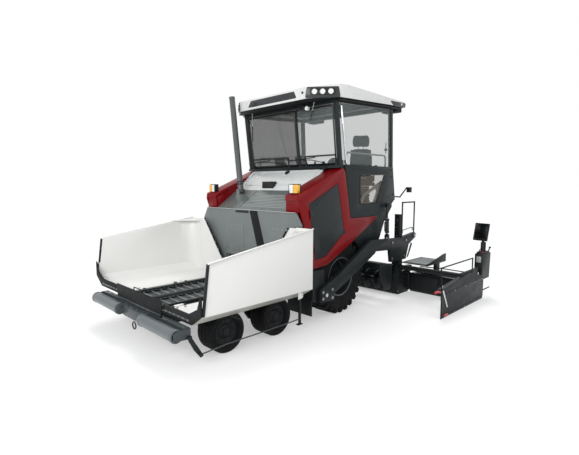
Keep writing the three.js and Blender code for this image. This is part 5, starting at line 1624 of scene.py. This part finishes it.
def extension_trim():
    """Covers, bolts, a tread, a cable chain and two hoses of a screed extension."""
    shape = Shape()
    places = []
    for low, high in ((1.33, 1.92), (1.96, 2.55)):
        shape.add(SCREED_DARK, block((low, high), (2.5604, 2.566), (0.08, 0.36), 0.002))
        for z in (0.11, 0.33):
            places += along((low + 0.03, 2.567, z), (high - 0.03, 2.567, z), 4, (0, 1, 0))
        shape.add(SCREED_DARK, block((low, high), (2.2612, 2.2646), (0.08, 0.36), 0.001))
    tread = block((1.32, 2.56), (2.30, 2.53), (0.4104, 0.418), 0.003)
    shape.add(STEEL, tread)
    links = row(14, (0.085, 0, 0), block((1.36, 1.43), (2.392, 2.485), (0.42, 0.455), 0.008))
    shape.add(DARK, links)
    y = 2.56 - 0.02
    for z in (0.52, 0.47):
        hose = [
            (1.4, y - 0.03, z), (1.9, y, z + 0.02), (2.5, y - 0.02, z + 0.02), (2.57, y - 0.03, z + 0.06)
        ]
        shape.add(STRIP, tube(hose, 0.011, 0.08, 10))
    return bolted(shape, places, 0.009, 0.008)


finish_pair(extension_trim, "extension_trim", "screed_extension_{}")


def end_plate_trim():
    """Stiffened edges, height screws, red handles, the outer link and two pads of an end plate."""
    face = END_OUT - PLATE_RECESS
    shape = Shape()
    for z in (0.03, 0.415):
        shape.add(DARK, block((face + 0.0002, face + 0.005), (0.93, 2.78), (z - 0.02, z + 0.02), 0.002))
    shape.add(DARK, block((face + 0.0002, face + 0.005), (0.925, 0.965), (0.05, 0.40), 0.002))
    for y in (1.02, 2.62):
        x = END_OUT - 0.055
        shape.add(BRIGHT, rod((x, y, 0.10), (x, y, 0.56), 0.013, 16, 0.002))
        shape.add(ZINC, rod((x, y, 0.30), (x, y, 0.36), 0.022, 20, 0.004))
        shape.add(DARK, block((x - 0.03, x + 0.03), (y - 0.035, y + 0.035), (0.47, 0.50), 0.004))
    handle = [(END_OUT - 0.03, y, z) for y, z in ((0.90, 0.475), (0.82, 0.50), (0.70, 0.50))]
    shape.add(RED_GRIP, tube(handle, 0.02, 0.03, 14))
    link = prism(
        "X", [(0.93, 0.50), (0.97, 0.50), (1.16, 0.18), (1.12, 0.165)], face + 0.0052, END_OUT - 0.001,
        0.002, 0.01
    )
    shape.add(BRIGHT, link)
    grip = prism(
        "X", [(1.0, 0.075), (1.17, 0.06), (1.20, 0.02), (1.02, 0.02)], face + 0.0052, END_OUT - 0.0005,
        0.003, 0.012
    )
    shape.add(RED_GRIP, grip)
    shape.add(BRIGHT, tube([(END_OUT - 0.07, 0.97, 0.50), (END_OUT - 0.06, 1.22, 0.49)], 0.014, sides=14))
    for y in ((1.3, 1.52), (1.62, 1.84)):
        shape.add(LIGHT_GREY, block((END_OUT - 0.10, END_OUT - 0.03), y, (0.471, 0.485), 0.004))
    places = on_side(face + 0.006, [(y, z) for y in (1.45, 1.9, 2.35, 2.7) for z in (0.03, 0.415)])
    return bolted(shape, places, 0.009, 0.006)


finish_pair(end_plate_trim, "end_plate_trim", "screed_extension_{}")


def control_box_trim():
    """Knobs, a red button, a lever, a blank cover and the display's cable on the control box."""
    shape = Shape().add(LIGHT_GREY, block((2.515, 2.605), (2.693, 2.6996), (0.74, 0.86), 0.003))
    shape.add(BLACK, block((2.50, 2.62), (2.72, 3.09), (0.9104, 0.922), 0.006))
    knob = [(0.922, 0.012), (0.935, 0.012), (0.937, 0.022), (0.957, 0.02), (0.96, 0)]
    for y in (2.76, 2.82, 3.0, 3.05):
        shape.add(BLACK, turned(knob, (2.53, y, 0), "Z", 20, True))
    stop_button = [(0.922, 0.015), (0.93, 0.015), (0.932, 0.024), (0.95, 0.02), (0.952, 0)]
    shape.add(RED_GRIP, turned(stop_button, (2.59, 2.78, 0), "Z", 20, True))
    shape.add(BLACK, tube([(2.6, 3.06, 0.9), (2.61, 3.10, 0.97), (2.61, 3.14, 1.0)], 0.012, 0.02, 12))
    shape.add(BLACK, disc("Z", (2.61, 3.14, 0.99), 0.022, 0.03, 0.008))
    hand = tube([(2.56, 2.715, 0.93), (2.56, 2.70, 0.99), (2.56, 2.75, 1.0)], 0.009, 0.02, 10)
    shape.add(BLACK, hand)
    cable = [
        (2.55, 2.93, 0.92), (2.535, 2.945, 1.0), (2.52, 2.96, 1.10), (2.5, 2.985, 1.16), (2.49, 3.0, 1.2)
    ]
    return shape.add(STRIP, tube(cable, 0.006, 0.04, 8))


finish_pair(control_box_trim, "control_box_trim", "screed_extension_{}")


def display():
    """A blank glossy screen in its hood, turned to the paved lane."""
    shape = Shape()
    front = block((-0.135, 0.135), (-0.0215, -0.0175), (-0.16, 0.16), 0.003)
    back = block((-0.11, 0.11), (0.0175, 0.03), (-0.13, 0.13), 0.006)
    keys = [
        block((-0.11 + 0.04 * k, -0.085 + 0.04 * k), (-0.0235, -0.021), (-0.155, -0.14), 0.001)
        for k in range(6)
    ]
    for material, parts in ((SCREEN, [front]), (BLACK, [back]), (DARK_SHELL, keys)):
        for part in parts:
            turn(turn(part, -12), -12, "Z")
            shape.add(material, shift(part, 2.48, 2.99, 1.325))
    return shape


finish_pair(display, "display", "screed_extension_{}")


def tray_trim():
    """A checkered steel sheet in the walkway tray."""
    sheet = block((1.32, 1.74), (2.08, 2.74), (0.6704, 0.674), 0.001)
    dash = turn(block((-0.012, 0.012), (-0.003, 0.003), (0, 0.0022), 0.001), 45, "Z")
    line = row(13, (0.03, 0, 0), shift(dash, 1.34, 2.1, 0.674))
    return Shape().add(STEEL, sheet, row(21, (0, 0.03, 0), line))


finish_pair(tray_trim, "tray_tread", "screed_extension_{}")

# ---- Studio --------------------------------------------------------------------------------

CAMERA_PLACE = (5.616, -5.624, 2.286)
CAMERA_TURN = (radians(84.086), 0, radians(45))
CAMERA_LENS = 25.51
CAMERA_SENSOR = 36.0
FAR = 200.0
FLOOR_SIZE = 60.0
FLOOR_DROP = 0.0005  # keeps the floor clear of the wheels
FLOOR_COLOR = (0.66, 0.66, 0.66, 1)
WHITE_LIFT = 0.4  # how much the floor shines of itself, so that it reads white round the shadow
SKY_COLOR = (0.98, 0.99, 1.0, 1)
SKY_STRENGTH = 0.62


def camera():
    data = bpy.data.cameras.new("camera")
    data.lens = CAMERA_LENS
    data.sensor_width = CAMERA_SENSOR
    data.clip_end = FAR
    made = new_object("camera", data)
    made.location = CAMERA_PLACE
    made.rotation_euler = CAMERA_TURN
    bpy.context.scene.camera = made


def seen_directly(tree):
    """1 for camera, glossy and transmission rays."""
    path = tree.nodes.new("ShaderNodeLightPath").outputs
    total = sum_node(tree, "MAXIMUM", path["Is Camera Ray"], path["Is Glossy Ray"])
    return sum_node(tree, "MAXIMUM", total, path["Is Transmission Ray"])


def floor():
    mesh = bpy.data.meshes.new("studio_floor")
    corners = [(x, y, 0) for x, y in rect(-FLOOR_SIZE, -FLOOR_SIZE, FLOOR_SIZE, FLOOR_SIZE)]
    mesh.from_pydata(corners, [], [(0, 1, 2, 3)])
    material = bpy.data.materials.new("pale_floor")
    material.use_nodes = True
    tree = material.node_tree
    tree.nodes.remove(tree.nodes["Principled BSDF"])
    matt = tree.nodes.new("ShaderNodeBsdfDiffuse")
    matt.inputs["Color"].default_value = FLOOR_COLOR
    lift = tree.nodes.new("ShaderNodeEmission")
    total = tree.nodes.new("ShaderNodeAddShader")
    join_nodes(
        tree,
        (sum_node(tree, "MULTIPLY", seen_directly(tree), WHITE_LIFT), lift.inputs["Strength"]),
        (matt.outputs[0], total.inputs[0]),
        (lift.outputs[0], total.inputs[1]),
        (total.outputs[0], tree.nodes["Material Output"].inputs["Surface"]),
    )
    mesh.materials.append(material)
    made = new_object("studio_floor", mesh)
    made.location.z = -FLOOR_DROP


def world():
    """Soft light from all round, seen as plain white."""
    made = bpy.data.worlds.new("studio")
    made.use_nodes = True
    tree = made.node_tree
    soft = tree.nodes["Background"]
    soft.inputs["Color"].default_value = SKY_COLOR
    soft.inputs["Strength"].default_value = SKY_STRENGTH
    white = tree.nodes.new("ShaderNodeBackground")
    white.inputs["Color"].default_value = (1, 1, 1, 1)
    white.inputs["Strength"].default_value = 1.0
    choice = tree.nodes.new("ShaderNodeMixShader")
    join_nodes(
        tree,
        (seen_directly(tree), choice.inputs["Fac"]),
        (soft.outputs[0], choice.inputs[1]),
        (white.outputs[0], choice.inputs[2]),
        (choice.outputs[0], tree.nodes["World Output"].inputs["Surface"]),
    )
    bpy.context.scene.world = made


def softbox(name, place, aim, size, power):
    """A rectangular light that shines from its place at its aim."""
    data = bpy.data.lights.new(name, "AREA")
    data.shape = "RECTANGLE"
    data.size, data.size_y = size
    data.energy = power
    made = new_object(name, data)
    made.location = place
    made.rotation_euler = (Vector(aim) - Vector(place)).to_track_quat("-Z", "Y").to_euler()


def wide_sun(name, towards, spread, strength):
    """Even light from one side of the sky, with soft shadows."""
    data = bpy.data.lights.new(name, "SUN")
    data.angle = radians(spread)
    data.energy = strength
    new_object(name, data).rotation_euler = Vector(towards).to_track_quat("Z", "Y").to_euler()


def studio():
    camera()
    world()
    floor()
    wide_sun("sky_light", (-0.35, 0.42, 1.0), 28, 1.15)
    softbox("side_key", (8.5, 0.5, 5.0), (0.5, 0, 1.4), (5.0, 4.0), 92)
    softbox("front_fill", (3.2, -9.8, 5.2), (-0.3, -0.8, 1.5), (6.0, 4.0), 480)


bpy.context.scene.view_settings.view_transform = "Standard"
studio()
